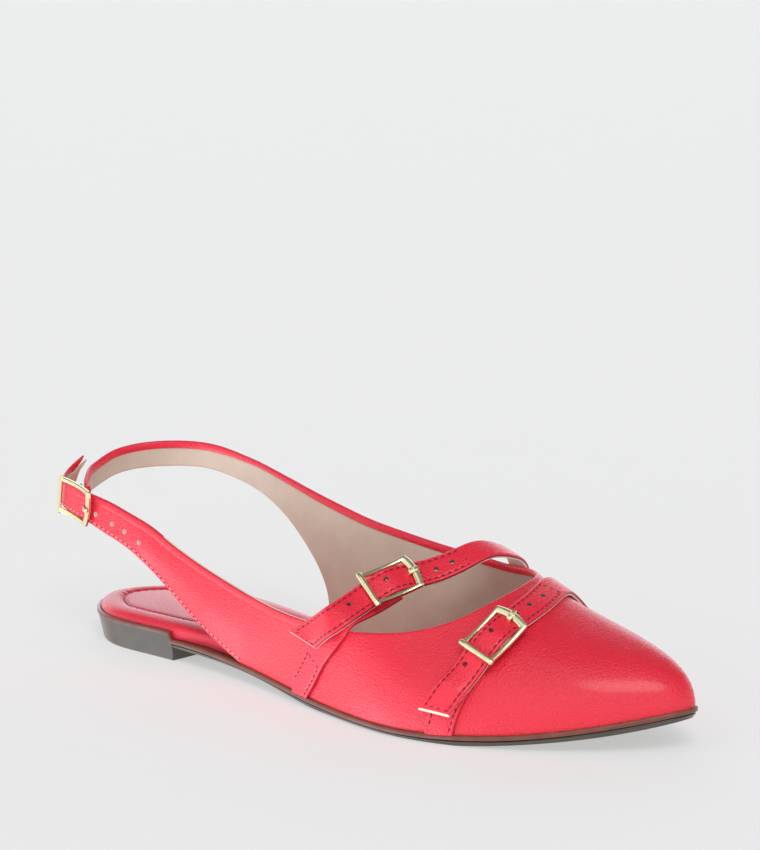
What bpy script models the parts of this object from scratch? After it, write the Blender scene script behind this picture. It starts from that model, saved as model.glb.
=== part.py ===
"""Flat pointed slingback shoe for the right foot, in metres.

While it is drawn, x runs from the back of the heel to the toe, y to the inner (medial) side and z up.
At the end the whole shoe is moved so that the origin is under the middle of its box, on the floor.
"""

import math
from collections import namedtuple

import bmesh
import bpy
import numpy as np

# Named sizes of the shoe, in millimetres
LENGTH = 251.0
BALL_WIDTH = 76.5
INSTEP = 45.0
HEEL_HEIGHT = 10.4

# Sizes that the base pattern in the tables was drawn for, in millimetres
PATTERN_LENGTH = 251.0
PATTERN_BALL = 76.5
PATTERN_INSTEP = 45.0
PATTERN_HEEL = 10.4

# Walls, edges and clearances, in millimetres
WALL = 1.6
GAP = 0.3
HEEL_RIM = 2.6
RIM_WIDTH = 1.3
LIP_HEIGHT = 1.5
LIP_BEVEL = 0.3
UNDERCUT = 0.9
HEEL_TAPER = 1.6
HEEL_BEVEL = 0.5
TREAD_BEVEL = 0.8
BREAST = 54.0
BREAST_DEPTH = 1.2
FEATHER_INSET = 0.8
FOOTBED_HEEL_INSET = 1.9
FOOTBED_TOE_INSET = 5.0
FOOTBED_HEEL_THICK = 5.0
FOOTBED_FRONT_THICK = 3.5
THIN_FROM = 84.0
THIN_OVER = 50.0
TIP_ACROSS = 7.6
MIDDLE_START = 25.0
MIDDLE_END = 215.0

SOLE_STATIONS = 44
UPPER_STEPS = 8
UPPER_PER_ROW = 3

STRAP_WIDTH = 9.4
STRAP_THICK = 1.3
TAB_THICK = 0.9
BUCKLE_REACH = 8.2
BUCKLE_SIDE = 5.85
BUCKLE_BAR = 0.7
MIDDLE_BAR = 0.63
KNOB_REACH = 6.3
KNOB_BAR = 0.85
PRONG_BAR = 0.5
CUT_REAR = 8.0
CUT_FRONT = 4.0
CUT_FADE = 16.0
BOW = 1.0
REAR_CLEAR = 1.0
FRONT_CLEAR = 1.05
SLING_CLEAR = 1.0
REAR_BAR_DROP = 2.0
FRONT_BAR_DROP = 2.1
SLING_BAR_DROP = 3.3
SLING_BUCKLE_ROW = 4.4

MM = 0.001

# Sole sections, base pattern in millimetres: half widths each side of the axis, height of the edge that the
# upper stands on, and height of the underside (below zero is trimmed flat to the floor)
Section = namedtuple("Section", "along lateral medial edge_top arch")
SOLE_SECTIONS = (
    Section(9.0, 16.4, 17.2, 7.5, 4.2),
    Section(25.0, 24.6, 25.0, 7.8, 4.4),
    Section(43.0, 25.4, 25.8, 7.9, 4.5),
    Section(75.0, 27.0, 22.8, 7.6, 4.4),
    Section(100.0, 30.0, 20.4, 5.7, 2.8),
    Section(126.0, 35.6, 22.6, 3.9, 0.3),
    Section(151.0, 40.6, 29.2, 3.1, -0.4),
    Section(171.0, 42.2, 33.9, 3.0, -0.5),
    Section(191.0, 38.0, 34.4, 3.6, -0.1),
    Section(211.0, 28.6, 30.6, 5.4, 1.8),
    Section(229.0, 17.2, 24.6, 8.7, 4.8),
    Section(241.5, 6.4, 18.2, 11.7, 7.7),
)
HEEL_BACK_TOP = 7.4
HEEL_BACK_ARCH = 4.2
TIP_TOP = 14.4
TIP_ARCH = 10.6

# Upper rows that stand on the sole: foot along the sole (negative side lateral), top edge, and the bend of
# the row between them (lean of the foot, slope of the top, both in degrees, and the two handle lengths)
Row = namedtuple("Row", "side foot top_x top_y top_z lean slope foot_pull top_pull")
SOLE_ROWS = (
    Row(-1, 91.0, 99.0, -31.2, 30.9, 4.0, 84.0, 0.33, 0.33),
    Row(-1, 112.0, 116.0, -34.6, 29.3, 4.0, 82.0, 0.33, 0.33),
    Row(-1, 135.0, 137.0, -37.2, 28.9, 5.0, 78.0, 0.35, 0.33),
    Row(-1, 158.0, 155.0, -37.6, 30.0, 6.0, 66.0, 0.40, 0.33),
    Row(-1, 180.0, 169.0, -33.5, 31.8, 8.0, 52.0, 0.45, 0.35),
    Row(-1, 203.0, 180.0, -26.0, 35.2, 10.0, 38.0, 0.42, 0.40),
    Row(-1, 226.0, 186.5, -17.5, 39.6, 8.0, 30.0, 0.36, 0.45),
    Row(-1, 241.5, 189.5, -8.5, 43.0, 0.0, 26.0, 0.28, 0.48),
    Row(0, 251.0, 189.0, 0.0, 44.5, -2.0, 25.0, 0.25, 0.50),
    Row(1, 241.5, 187.0, 7.5, 45.2, 5.0, 28.0, 0.32, 0.48),
    Row(1, 226.0, 182.6, 14.0, 44.6, 8.0, 36.0, 0.38, 0.47),
    Row(1, 203.0, 175.0, 19.5, 44.0, 6.0, 50.0, 0.42, 0.40),
    Row(1, 180.0, 164.0, 23.0, 43.0, 4.0, 64.0, 0.42, 0.35),
    Row(1, 158.0, 150.0, 24.6, 43.4, 2.0, 74.0, 0.38, 0.33),
    Row(1, 135.0, 134.0, 23.6, 44.8, 0.0, 82.0, 0.35, 0.33),
    Row(1, 112.0, 112.0, 20.6, 48.3, 0.0, 86.0, 0.33, 0.33),
    Row(1, 86.0, 93.0, 21.2, 51.4, 0.0, 88.0, 0.33, 0.33),
)

# Upper rows behind the sole rows: lower and upper edge of the quarter and of the sling
Edge = namedtuple("Edge", "low_x low_y low_z top_x top_y top_z")
LATERAL_EDGES = (
    Edge(-6.9, -11.0, 51.5, -5.1, -9.3, 60.3),
    Edge(-6.4, -14.6, 48.9, -5.6, -13.8, 57.8),
    Edge(-4.4, -18.8, 46.6, -3.9, -18.4, 56.3),
    Edge(0.4, -24.2, 45.7, 0.8, -23.9, 55.5),
    Edge(8.0, -27.5, 45.0, 8.2, -27.4, 54.7),
    Edge(16.4, -28.3, 43.4, 17.0, -28.3, 53.3),
    Edge(26.6, -28.1, 40.1, 28.6, -27.9, 51.2),
    Edge(36.0, -27.8, 37.0, 38.5, -27.6, 48.5),
    Edge(44.4, -26.8, 32.2, 47.0, -26.8, 45.6),
    Edge(51.4, -26.4, 27.7, 57.0, -26.8, 41.3),
    Edge(59.0, -26.8, 23.0, 70.0, -27.8, 37.2),
    Edge(72.2, -28.0, 15.7, 84.0, -29.4, 33.9),
)
MEDIAL_EDGES = (
    Edge(85.4, 21.5, 17.8, 78.0, 22.6, 54.1),
    Edge(80.2, 22.3, 27.6, 68.0, 23.6, 56.1),
    Edge(72.2, 23.2, 35.9, 58.0, 24.6, 58.1),
    Edge(60.9, 24.4, 44.2, 48.0, 25.8, 59.9),
    Edge(45.0, 26.2, 50.4, 38.0, 27.0, 61.2),
    Edge(31.0, 27.6, 52.8, 28.0, 27.8, 62.3),
    Edge(18.0, 27.4, 53.9, 17.0, 27.2, 62.8),
    Edge(6.5, 22.6, 53.6, 6.0, 22.3, 62.6),
    Edge(-1.5, 14.5, 52.9, -1.7, 14.3, 61.8),
    Edge(-5.8, 5.0, 51.0, -5.9, 4.8, 59.8),
    Edge(-5.4, -2.4, 48.9, -5.4, -2.4, 57.7),
    Edge(-2.9, -8.7, 47.9, -2.9, -8.7, 56.5),
    Edge(1.2, -13.8, 47.0, 1.2, -13.8, 55.5),
    Edge(5.4, -18.2, 46.4, 5.4, -18.2, 54.6),
    Edge(10.8, -22.2, 45.4, 10.8, -22.2, 53.4),
)

# Straps and tabs: underside of the ribbon, its outward direction, whether it lies on the upper (1) or spans
# free (0), and its lift from there
Ribbon = namedtuple("Ribbon", "x y z nx ny nz hug lift")
STRAP_REAR = (
    Ribbon(131.6, -40.0, 23.6, 0.15, -0.95, 0.2, 0.0, 0.0),
    Ribbon(137.8, -40.2, 27.7, 0.15, -0.93, 0.3, 0.0, 0.0),
    Ribbon(145.3, -40.9, 32.6, 0.3, -0.8, 0.5, 0.0, 0.0),
    Ribbon(148.6, -28.3, 38.5, 0.45, -0.55, 0.70, 0.0, 0.3),
    Ribbon(151.4, -20.5, 41.2, 0.47, -0.52, 0.70, 0.0, 2.4),
    Ribbon(154.8, -13.4, 43.6, 0.47, -0.50, 0.72, 0.0, 0.0),
    Ribbon(162.1, 0.9, 47.5, 0.42, -0.30, 0.86, 0.0, 0.0),
    Ribbon(165.0, 9.0, 49.7, 0.36, 0.0, 0.93, 0.0, 0.0),
    Ribbon(166.4, 16.0, 48.0, 0.30, 0.35, 0.88, 0.0, 0.2),
    Ribbon(165.4, 23.2, 43.4, 0.20, 0.70, 0.68, 0.3, 0.6),
    Ribbon(166.6, 27.5, 36.0, 0.15, 0.90, 0.40, 1.0, 0.4),
    Ribbon(168.5, 31.5, 22.0, 0.05, 1.0, 0.10, 1.0, 0.4),
    Ribbon(169.0, 33.2, 5.0, 0.0, 1.0, 0.0, 1.0, 0.3),
)
STRAP_FRONT = (
    Ribbon(189.3, -42.0, 11.0, 0.45, -0.85, 0.3, 0.0, 0.0),
    Ribbon(193.1, -37.8, 19.1, 0.45, -0.8, 0.4, 0.0, 0.0),
    Ribbon(195.2, -28.8, 26.0, 0.3, -0.65, 0.7, 1.0, 2.0),
    Ribbon(197.4, -22.4, 31.8, 0.35, -0.55, 0.75, 1.0, 4.0),
    Ribbon(198.6, -15.0, 36.6, 0.35, -0.45, 0.8, 1.0, 1.7),
    Ribbon(198.2, -3.6, 40.4, 0.4, -0.25, 0.88, 1.0, 0.5),
    Ribbon(194.4, 8.0, 42.0, 0.35, 0.1, 0.93, 1.0, 0.5),
    Ribbon(191.4, 18.0, 39.2, 0.25, 0.5, 0.83, 1.0, 0.7),
    Ribbon(190.6, 26.0, 31.2, 0.2, 0.8, 0.6, 1.0, 0.6),
    Ribbon(191.0, 31.0, 18.0, 0.15, 1.0, 0.2, 1.0, 0.4),
    Ribbon(191.0, 32.5, 5.0, 0.1, 1.0, 0.0, 1.0, 0.3),
)
TAB_REAR = (
    Ribbon(125.6, -34.9, 6.0, -0.2, -1.0, 0.0, 1.0, 0.4),
    Ribbon(131.0, -36.5, 12.4, -0.1, -1.0, 0.0, 1.0, 0.4),
    Ribbon(137.2, -37.4, 20.6, 0.0, -1.0, 0.2, 1.0, 0.4),
    Ribbon(143.6, -37.6, 27.2, 0.2, -0.9, 0.4, 1.0, 0.5),
    Ribbon(146.3, -38.3, 32.0, 0.3, -0.8, 0.5, 0.0, 0.0),
    Ribbon(148.2, -30.1, 35.6, 0.45, -0.6, 0.65, 0.0, -0.3),
    Ribbon(151.8, -19.5, 40.7, 0.47, -0.52, 0.70, 0.0, -1.2),
)
TAB_FRONT = (
    Ribbon(188.4, -38.9, 4.2, 0.3, -1.0, 0.0, 1.0, 0.3),
    Ribbon(190.8, -38.2, 12.8, 0.3, -1.0, 0.1, 1.0, 0.3),
    Ribbon(193.0, -33.8, 20.4, 0.3, -0.8, 0.4, 1.0, 0.3),
    Ribbon(195.8, -27.4, 27.4, 0.3, -0.65, 0.7, 1.0, 0.3),
    Ribbon(197.7, -20.4, 33.4, 0.35, -0.55, 0.75, 1.0, 0.3),
)


def clear_scene():
    for obj in list(bpy.data.objects):
        bpy.data.objects.remove(obj, do_unlink=True)


def spline(knots, values):
    """Natural cubic spline through the rows of values, as a function of the knots."""
    knots = np.asarray(knots, float)
    values = np.asarray(values, float)
    count = len(knots)
    step = np.diff(knots)
    matrix = np.eye(count)
    right = np.zeros_like(values)
    slope = (values[1:] - values[:-1]) / step.reshape((-1,) + (1,) * (values.ndim - 1))
    for i in range(1, count - 1):
        matrix[i, i - 1] = step[i - 1]
        matrix[i, i] = 2.0 * (step[i - 1] + step[i])
        matrix[i, i + 1] = step[i]
        right[i] = 6.0 * (slope[i] - slope[i - 1])
    bend = np.linalg.solve(matrix, right)

    def value(where):
        where = np.atleast_1d(np.asarray(where, float))
        i = np.clip(np.searchsorted(knots, where) - 1, 0, count - 2)
        shape = (-1,) + (1,) * (values.ndim - 1)
        width = step[i].reshape(shape)
        left = (where - knots[i]).reshape(shape)
        rest = width - left
        curve = (bend[i] * rest**3 + bend[i + 1] * left**3) / (6.0 * width)
        start = (values[i] / width - bend[i] * width / 6.0) * rest
        end = (values[i + 1] / width - bend[i + 1] * width / 6.0) * left
        return curve + start + end

    return value


def grade(point):
    """A point of the base pattern, fitted to the named sizes."""
    scale = (LENGTH / PATTERN_LENGTH, BALL_WIDTH / PATTERN_BALL, INSTEP / PATTERN_INSTEP)
    return np.asarray(point, float) * scale


# Sole outline and side profile
def turn_of(along):
    """Angle that runs from 0 at the back of the heel to pi at the tip, for smooth round ends."""
    return np.arccos(np.clip(1.0 - 2.0 * np.asarray(along, float) / LENGTH, -1.0, 1.0))


def outline_splines():
    along = [s.along * LENGTH / PATTERN_LENGTH for s in SOLE_SECTIONS]
    wide = BALL_WIDTH / PATTERN_BALL
    turns = np.concatenate([[0.0], turn_of(along), [math.pi]])
    lateral = [0.0] + [-s.lateral * wide for s in SOLE_SECTIONS] + [TIP_ACROSS * wide]
    medial = [0.0] + [s.medial * wide for s in SOLE_SECTIONS] + [TIP_ACROSS * wide]
    tops = [HEEL_BACK_TOP] + [s.edge_top for s in SOLE_SECTIONS] + [TIP_TOP]
    arches = [HEEL_BACK_ARCH] + [s.arch for s in SOLE_SECTIONS] + [TIP_ARCH]
    stations = [0.0] + along + [LENGTH]
    return spline(turns, lateral), spline(turns, medial), spline(stations, tops), spline(stations, arches)


LATERAL_LINE, MEDIAL_LINE, EDGE_PATTERN, ARCH_PATTERN = outline_splines()


def heel_lift(along):
    """Extra height where the heel differs from the base pattern, faded out along the waist."""
    fade = np.clip((BREAST + 60.0 - np.asarray(along, float)) / 60.0, 0.0, 1.0)
    return (HEEL_HEIGHT - PATTERN_HEEL) * fade


def edge_top(along):
    """Height of the sole's edge that the upper and the footbed stand on."""
    return EDGE_PATTERN(along) + heel_lift(along)


def outline_point(side, turn):
    """Plan position of the sole's edge; the side is -1 lateral or 1 medial."""
    line = MEDIAL_LINE if side > 0 else LATERAL_LINE
    turn = np.atleast_1d(turn)
    return np.stack([LENGTH * (1.0 - np.cos(turn)) / 2.0, line(turn)], axis=-1)


def inset(loop, distance):
    """The loop moved inwards by a distance, which may differ from point to point."""
    ahead = np.roll(loop, -1, axis=0) - np.roll(loop, 1, axis=0)
    ahead /= np.linalg.norm(ahead, axis=1)[:, None]
    inwards = np.stack([-ahead[:, 1], ahead[:, 0]], axis=1)
    return loop + inwards * np.reshape(distance, (-1, 1))


def towards_middle(loop, distance):
    """The loop moved towards the shoe's middle line, which stops short of both ends, so that no ring folds."""
    along = np.clip(loop[:, 0], MIDDLE_START, MIDDLE_END * LENGTH / PATTERN_LENGTH)
    turns = turn_of(along)
    across = (LATERAL_LINE(turns) + MEDIAL_LINE(turns)) / 2.0
    way = np.column_stack([along, across]) - loop
    way /= np.linalg.norm(way, axis=1)[:, None]
    return loop + way * np.reshape(distance, (-1, 1))


def in_heel(along):
    """Whether a station is in the heel block, behind its breast."""
    return np.asarray(along) <= BREAST + BREAST_DEPTH / 2.0


def sole_bottom(along):
    """Underside of the sole: heel on the floor, hollow waist, flat tread and toe spring."""
    lifted = np.maximum(ARCH_PATTERN(along) + heel_lift(along), 0.0)
    return np.where(in_heel(along), 0.0, lifted)


def ladder(loop_start, stations):
    """Faces across a loop, from each lateral point to the medial point of the same station."""
    count = 2 * stations
    faces = [(loop_start, loop_start + 1, loop_start + count - 1)]
    for i in range(1, stations - 1):
        a, b = loop_start + i, loop_start + i + 1
        faces.append((a, b, loop_start + count - i - 1, loop_start + count - i))
    faces.append((loop_start + stations - 1, loop_start + stations, loop_start + stations + 1))
    return faces


def mesh_object(name, points, faces, colour, roughness=0.5, metallic=0.0):
    """One named object with its own material; points are in millimetres."""
    mesh = bpy.data.meshes.new(name)
    mesh.from_pydata([tuple(p) for p in np.asarray(points) * MM], [], faces)
    shape = bmesh.new()
    shape.from_mesh(mesh)
    bmesh.ops.recalc_face_normals(shape, faces=shape.faces)
    shape.to_mesh(mesh)
    shape.free()
    material = bpy.data.materials.new(name + "_material")
    material.use_nodes = True
    shader = material.node_tree.nodes["Principled BSDF"]
    shader.inputs["Base Color"].default_value = (*colour, 1.0)
    shader.inputs["Roughness"].default_value = roughness
    shader.inputs["Metallic"].default_value = metallic
    mesh.materials.append(material)
    obj = bpy.data.objects.new(name, mesh)
    bpy.context.scene.collection.objects.link(obj)
    return obj


def stacked_rings(rings, stations):
    """Points and faces of a solid made of loops from its top to its underside."""
    count = 2 * stations
    points = np.concatenate(rings)
    faces = list(ladder(0, stations))
    for r in range(len(rings) - 1):
        for i in range(count):
            j = (i + 1) % count
            faces.append((r * count + i, r * count + j, (r + 1) * count + j, (r + 1) * count + i))
    faces += [tuple(reversed(f)) for f in ladder((len(rings) - 1) * count, stations)]
    return points, faces


def sole_turns():
    """Station angles, with a close pair of stations at the heel breast."""
    turns = np.linspace(0.0, math.pi, SOLE_STATIONS + 1)
    near = int(np.argmin(np.abs(turns - turn_of(BREAST))))
    turns[near] = turn_of(BREAST)
    return np.insert(turns, near + 1, turn_of(BREAST + BREAST_DEPTH))


def build_sole():
    turns = sole_turns()
    stations = len(turns) - 1
    loop = np.concatenate([outline_point(-1, turns), outline_point(1, turns[::-1])[1:-1]])
    station_x = loop[:, 0]
    heel = in_heel(station_x)
    lip = np.where(heel, HEEL_RIM, 0.0)
    rim = edge_top(station_x) + lip
    under = sole_bottom(station_x)
    foot_inset = UNDERCUT + np.where(heel, HEEL_TAPER, 0.2)
    foot_bevel = np.where(heel, HEEL_BEVEL, TREAD_BEVEL)

    def ring(distance, level):
        flat = inset(loop, np.broadcast_to(distance, len(loop)))
        return np.column_stack([flat, level])

    def top_ring(distance, extra):
        flat = inset(loop, np.broadcast_to(distance, len(loop)))
        return np.column_stack([flat, edge_top(flat[:, 0]) + extra])

    rings = [
        top_ring(RIM_WIDTH + 0.2, 0.0),
        top_ring(RIM_WIDTH, lip),
        top_ring(LIP_BEVEL, lip),
        ring(0.0, rim - LIP_BEVEL),
        ring(0.0, rim - LIP_HEIGHT),
        ring(UNDERCUT, rim - LIP_HEIGHT - 0.4),
        ring(foot_inset, under + foot_bevel),
        ring(foot_inset + foot_bevel, under),
    ]
    points, faces = stacked_rings(rings, stations)
    return mesh_object("sole_unit", points, faces, (0.11, 0.07, 0.055), 0.55)


def footbed_inset(along):
    """Distance from the sole's edge: under the upper's wall in front, nearly at the edge in the heel."""
    inside = FEATHER_INSET + WALL + GAP + 0.4
    blend = np.clip((np.asarray(along) - 48.0) / 26.0, 0.0, 1.0)
    blend = blend * blend * (3.0 - 2.0 * blend)
    toe = np.clip((np.asarray(along) - (LENGTH - 26.0)) / 26.0, 0.0, 1.0)
    return FOOTBED_HEEL_INSET + (inside - FOOTBED_HEEL_INSET) * blend + FOOTBED_TOE_INSET * toe**2


def build_footbed():
    turns = np.linspace(0.0, math.pi, SOLE_STATIONS + 1)
    loop = np.concatenate([outline_point(-1, turns), outline_point(1, turns[::-1])[1:-1]])
    first = footbed_inset(loop[:, 0])
    blend = np.clip((loop[:, 0] - THIN_FROM) / THIN_OVER, 0.0, 1.0)
    thick = FOOTBED_HEEL_THICK + (FOOTBED_FRONT_THICK - FOOTBED_HEEL_THICK) * blend
    levels = ((9.0, 1.0), (3.2, 0.93), (0.9, 0.77), (0.0, 0.56), (0.0, 0.0))
    rings = []
    for distance, share in levels:
        flat = towards_middle(loop, first + distance)
        rings.append(np.column_stack([flat, edge_top(flat[:, 0]) + GAP + share * thick]))
    points, faces = stacked_rings(rings, SOLE_STATIONS)
    return mesh_object("footbed", points, faces, (0.63, 0.045, 0.075), 0.45)


# Upper: rows of curves from the lower edge to the upper edge
def feather_point(side, along):
    """Foot of an upper row on the sole, a little inside the sole's edge."""
    turn = float(turn_of(along)[()])
    nearby = np.array([turn - 0.004, turn, turn + 0.004])
    if side == 0:
        flat = np.array([LENGTH - FEATHER_INSET, TIP_ACROSS * BALL_WIDTH / PATTERN_BALL])
    else:
        line = outline_point(side, nearby)
        ahead = line[2] - line[0]
        ahead /= np.linalg.norm(ahead)
        inwards = np.array([-ahead[1], ahead[0]]) * -side
        flat = line[1] + inwards * FEATHER_INSET
    return np.array([flat[0], flat[1], float(edge_top(flat[0])[0]) + GAP])


def row_parameters():
    """Lower edge, upper edge and bend of every row of the tables, in order round the shoe."""
    low = []
    top = []
    bend = []
    for edge in LATERAL_EDGES:
        low.append(grade(edge[:3]))
        top.append(grade(edge[3:]))
        bend.append((2.0, 86.0, 0.33, 0.33))
    for row in SOLE_ROWS:
        low.append(feather_point(row.side, row.foot * LENGTH / PATTERN_LENGTH))
        top.append(grade((row.top_x, row.top_y, row.top_z)))
        bend.append((row.lean, row.slope, row.foot_pull, row.top_pull))
    for edge in MEDIAL_EDGES:
        low.append(grade(edge[:3]))
        top.append(grade(edge[3:]))
        bend.append((0.0, 88.0, 0.33, 0.33))
    return np.array(low), np.array(top), np.array(bend)


def upper_rows(per_row):
    """Rows between those of the tables: lower edge, upper edge and bend of each."""
    low, top, bend = row_parameters()
    middle = (low + top) / 2.0
    knots = np.concatenate([[0.0], np.cumsum(np.linalg.norm(np.diff(middle, axis=0), axis=1))])
    fine = [knots[0]]
    for a, b in zip(knots[:-1], knots[1:]):
        fine += list(np.linspace(a, b, per_row + 1)[1:])
    fine = np.array(fine)
    first = len(LATERAL_EDGES)
    last = first + len(SOLE_ROWS) - 1
    top_fine = spline(knots, top)(fine)
    bend_fine = spline(knots, bend)(fine)
    low_fine = np.empty_like(top_fine)
    behind = fine <= knots[first]
    low_fine[behind] = spline(knots[: first + 1], low[: first + 1])(fine[behind])
    ahead = fine >= knots[last]
    low_fine[ahead] = spline(knots[last:], low[last:])(fine[ahead])
    turns = []
    for row in SOLE_ROWS:
        away = math.pi - float(turn_of(row.foot * LENGTH / PATTERN_LENGTH)[()])
        turns.append(away * (row.side if row.side else 1))
    turns = spline(knots[first : last + 1], turns)
    for i in np.flatnonzero(~behind & ~ahead):
        turn = float(turns(fine[i])[0])
        side = 1 if turn > 0 else -1
        along = LENGTH * (1.0 - math.cos(math.pi - abs(turn))) / 2.0
        low_fine[i] = feather_point(0 if abs(turn) < 1e-6 else side, along)
    return low_fine, top_fine, bend_fine


def upper_surface(per_row, steps):
    """Outer face of the upper as a grid of points, with its outward normals."""
    low, top, bend = upper_rows(per_row)
    lean = np.radians(bend[:, 0])
    slope = np.radians(bend[:, 1])
    span = np.linalg.norm(top - low, axis=1)
    out = low[:, :2] - top[:, :2]
    run = np.gradient(low[:, :2] + top[:, :2], axis=0)
    run /= np.linalg.norm(run, axis=1)[:, None]
    across = np.stack([run[:, 1], -run[:, 0]], axis=1)
    amount = np.clip(np.linalg.norm(out, axis=1) / span * 2.0, 0.0, 1.0)[:, None]
    out = amount * out / np.maximum(np.linalg.norm(out, axis=1), 1e-6)[:, None] + (1.0 - amount) * across
    out /= np.linalg.norm(out, axis=1)[:, None]
    rise = (top - low) / span[:, None]
    foot_way = np.column_stack([out * np.sin(lean)[:, None], np.cos(lean)])
    top_way = np.column_stack([out * np.cos(slope)[:, None], -np.sin(slope)])
    steep = np.clip((np.degrees(slope) - 70.0) / 14.0, 0.0, 1.0)[:, None]
    foot_way = (1.0 - steep) * foot_way + steep * rise
    top_way = (1.0 - steep) * top_way - steep * rise
    first = low + foot_way * (bend[:, 2] * span)[:, None]
    second = top + top_way * (bend[:, 3] * span)[:, None]
    share = np.linspace(0.0, 1.0, steps + 1)
    grid = np.zeros((len(low), steps + 1, 3))
    for j, t in enumerate(share):
        s = 1.0 - t
        grid[:, j] = s**3 * low + 3 * t * s**2 * first + 3 * t**2 * s * second + t**3 * top
    along = np.gradient(grid, axis=0)
    upwards = np.gradient(grid, axis=1)
    normal = np.cross(along, upwards)
    normal /= np.linalg.norm(normal, axis=2)[:, :, None]
    return grid, normal


def shell(outer, inner):
    """Points and faces of a closed sheet between two grids of the same shape."""
    rows, steps = outer.shape[:2]
    points = np.concatenate([outer.reshape(-1, 3), inner.reshape(-1, 3)])
    half = rows * steps
    faces = []

    def at(i, j, side):
        return side * half + i * steps + j

    for i in range(rows - 1):
        for j in range(steps - 1):
            faces.append((at(i, j, 0), at(i + 1, j, 0), at(i + 1, j + 1, 0), at(i, j + 1, 0)))
            faces.append((at(i, j, 1), at(i, j + 1, 1), at(i + 1, j + 1, 1), at(i + 1, j, 1)))
        faces.append((at(i, 0, 0), at(i, 0, 1), at(i + 1, 0, 1), at(i + 1, 0, 0)))
        last = steps - 1
        faces.append((at(i, last, 0), at(i + 1, last, 0), at(i + 1, last, 1), at(i, last, 1)))
    for j in range(steps - 1):
        faces.append((at(0, j, 0), at(0, j + 1, 0), at(0, j + 1, 1), at(0, j, 1)))
        last = rows - 1
        faces.append((at(last, j, 0), at(last, j, 1), at(last, j + 1, 1), at(last, j + 1, 0)))
    return points, faces


def build_upper():
    outer, normal = upper_surface(UPPER_PER_ROW, UPPER_STEPS)
    inner = outer - normal * WALL
    inner[:, 0, 2] = np.where(outer[:, 0, 2] < 15.5, outer[:, 0, 2], inner[:, 0, 2])
    points, faces = shell(outer, inner)
    return mesh_object("upper", points, faces, (0.66, 0.05, 0.08), 0.4)


def resting_place():
    """Fine copy of the upper's outer face, for pieces that lie on it."""
    grid, normal = upper_surface(10, 40)
    return grid.reshape(-1, 3), normal.reshape(-1, 3)


def ribbon_grids(table, width, thick, rest, per_row=5, columns=5, cut=0.0):
    """Under face, outer face and local directions of a strip of leather that follows the table's rows."""
    rows = np.array(table, float)
    middle = grade(rows[:, :3])
    knots = np.concatenate([[0.0], np.cumsum(np.linalg.norm(np.diff(middle, axis=0), axis=1))])
    fine = [0.0]
    for a, b in zip(knots[:-1], knots[1:]):
        fine += list(np.linspace(a, b, per_row + 1)[1:])
    fine = np.array(fine)
    line = spline(knots, middle)(fine)
    facing = spline(knots, rows[:, 3:6])(fine)
    hug = np.clip(np.interp(fine, knots, rows[:, 6]), 0.0, 1.0)
    lift = spline(knots, rows[:, 7])(fine)
    ahead = np.gradient(line, fine, axis=0)
    ahead /= np.linalg.norm(ahead, axis=1)[:, None]
    facing -= ahead * (facing * ahead).sum(axis=1)[:, None]
    facing /= np.linalg.norm(facing, axis=1)[:, None]
    beside = np.cross(ahead, facing)
    under = np.zeros((len(line), columns, 3))
    outer = np.zeros_like(under)
    for i in range(len(line)):
        for j, share in enumerate(np.linspace(-0.5, 0.5, columns)):
            slant = share * cut * max(0.0, 1.0 - fine[i] / CUT_FADE)
            spot = line[i] + beside[i] * share * width + ahead[i] * slant
            out = facing[i]
            if hug[i] > 0.0:
                near = np.argmin(((rest[0] - spot) ** 2).sum(axis=1))
                plane = rest[1][near]
                drop = ((spot - rest[0][near]) * plane).sum()
                spot = spot - plane * drop * hug[i]
                out = out * (1.0 - hug[i]) + plane * hug[i]
                out /= np.linalg.norm(out)
            under[i, j] = spot + out * lift[i]
            outer[i, j] = under[i, j] + out * thick
    return under, outer, ahead, facing, beside, knots, fine


def on_sole(grid, row):
    """Sets one end row of a ribbon down on the top of the sole."""
    grid[row, :, 2] = edge_top(grid[row, :, 0]) + GAP


def build_ribbon(name, table, width, thick, rest, cut=0.0, sole_rows=()):
    under, outer, *_ = ribbon_grids(table, width, thick, rest, 4, 4, cut)
    for row in sole_rows:
        on_sole(under, row)
        on_sole(outer, row)
    points, faces = shell(outer, under)
    return mesh_object(name, points, faces, (0.66, 0.05, 0.08), 0.4)


# Buckles
def tube(path, radius, sides, closed):
    """Round bar along a path of points, as points and faces; a closed path gives a ring."""
    path = np.asarray(path, float)
    count = len(path)
    if closed:
        ahead = np.roll(path, -1, axis=0) - np.roll(path, 1, axis=0)
    else:
        ahead = np.gradient(path, axis=0)
    ahead /= np.linalg.norm(ahead, axis=1)[:, None]
    points = []
    for i in range(count):
        up = np.array([0.0, 0.0, 1.0]) - ahead[i] * ahead[i][2]
        up /= np.linalg.norm(up)
        side = np.cross(ahead[i], up)
        for k in range(sides):
            angle = 2.0 * math.pi * (k + 0.5) / sides
            points.append(path[i] + radius * (math.cos(angle) * side + math.sin(angle) * up))
    faces = []
    for i in range(count if closed else count - 1):
        for k in range(sides):
            m = (k + 1) % sides
            n = (i + 1) % count
            faces.append((i * sides + k, i * sides + m, n * sides + m, n * sides + k))
    if not closed:
        faces.append(tuple(reversed(range(sides))))
        faces.append(tuple(range((count - 1) * sides, count * sides)))
    return np.array(points), faces


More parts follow.
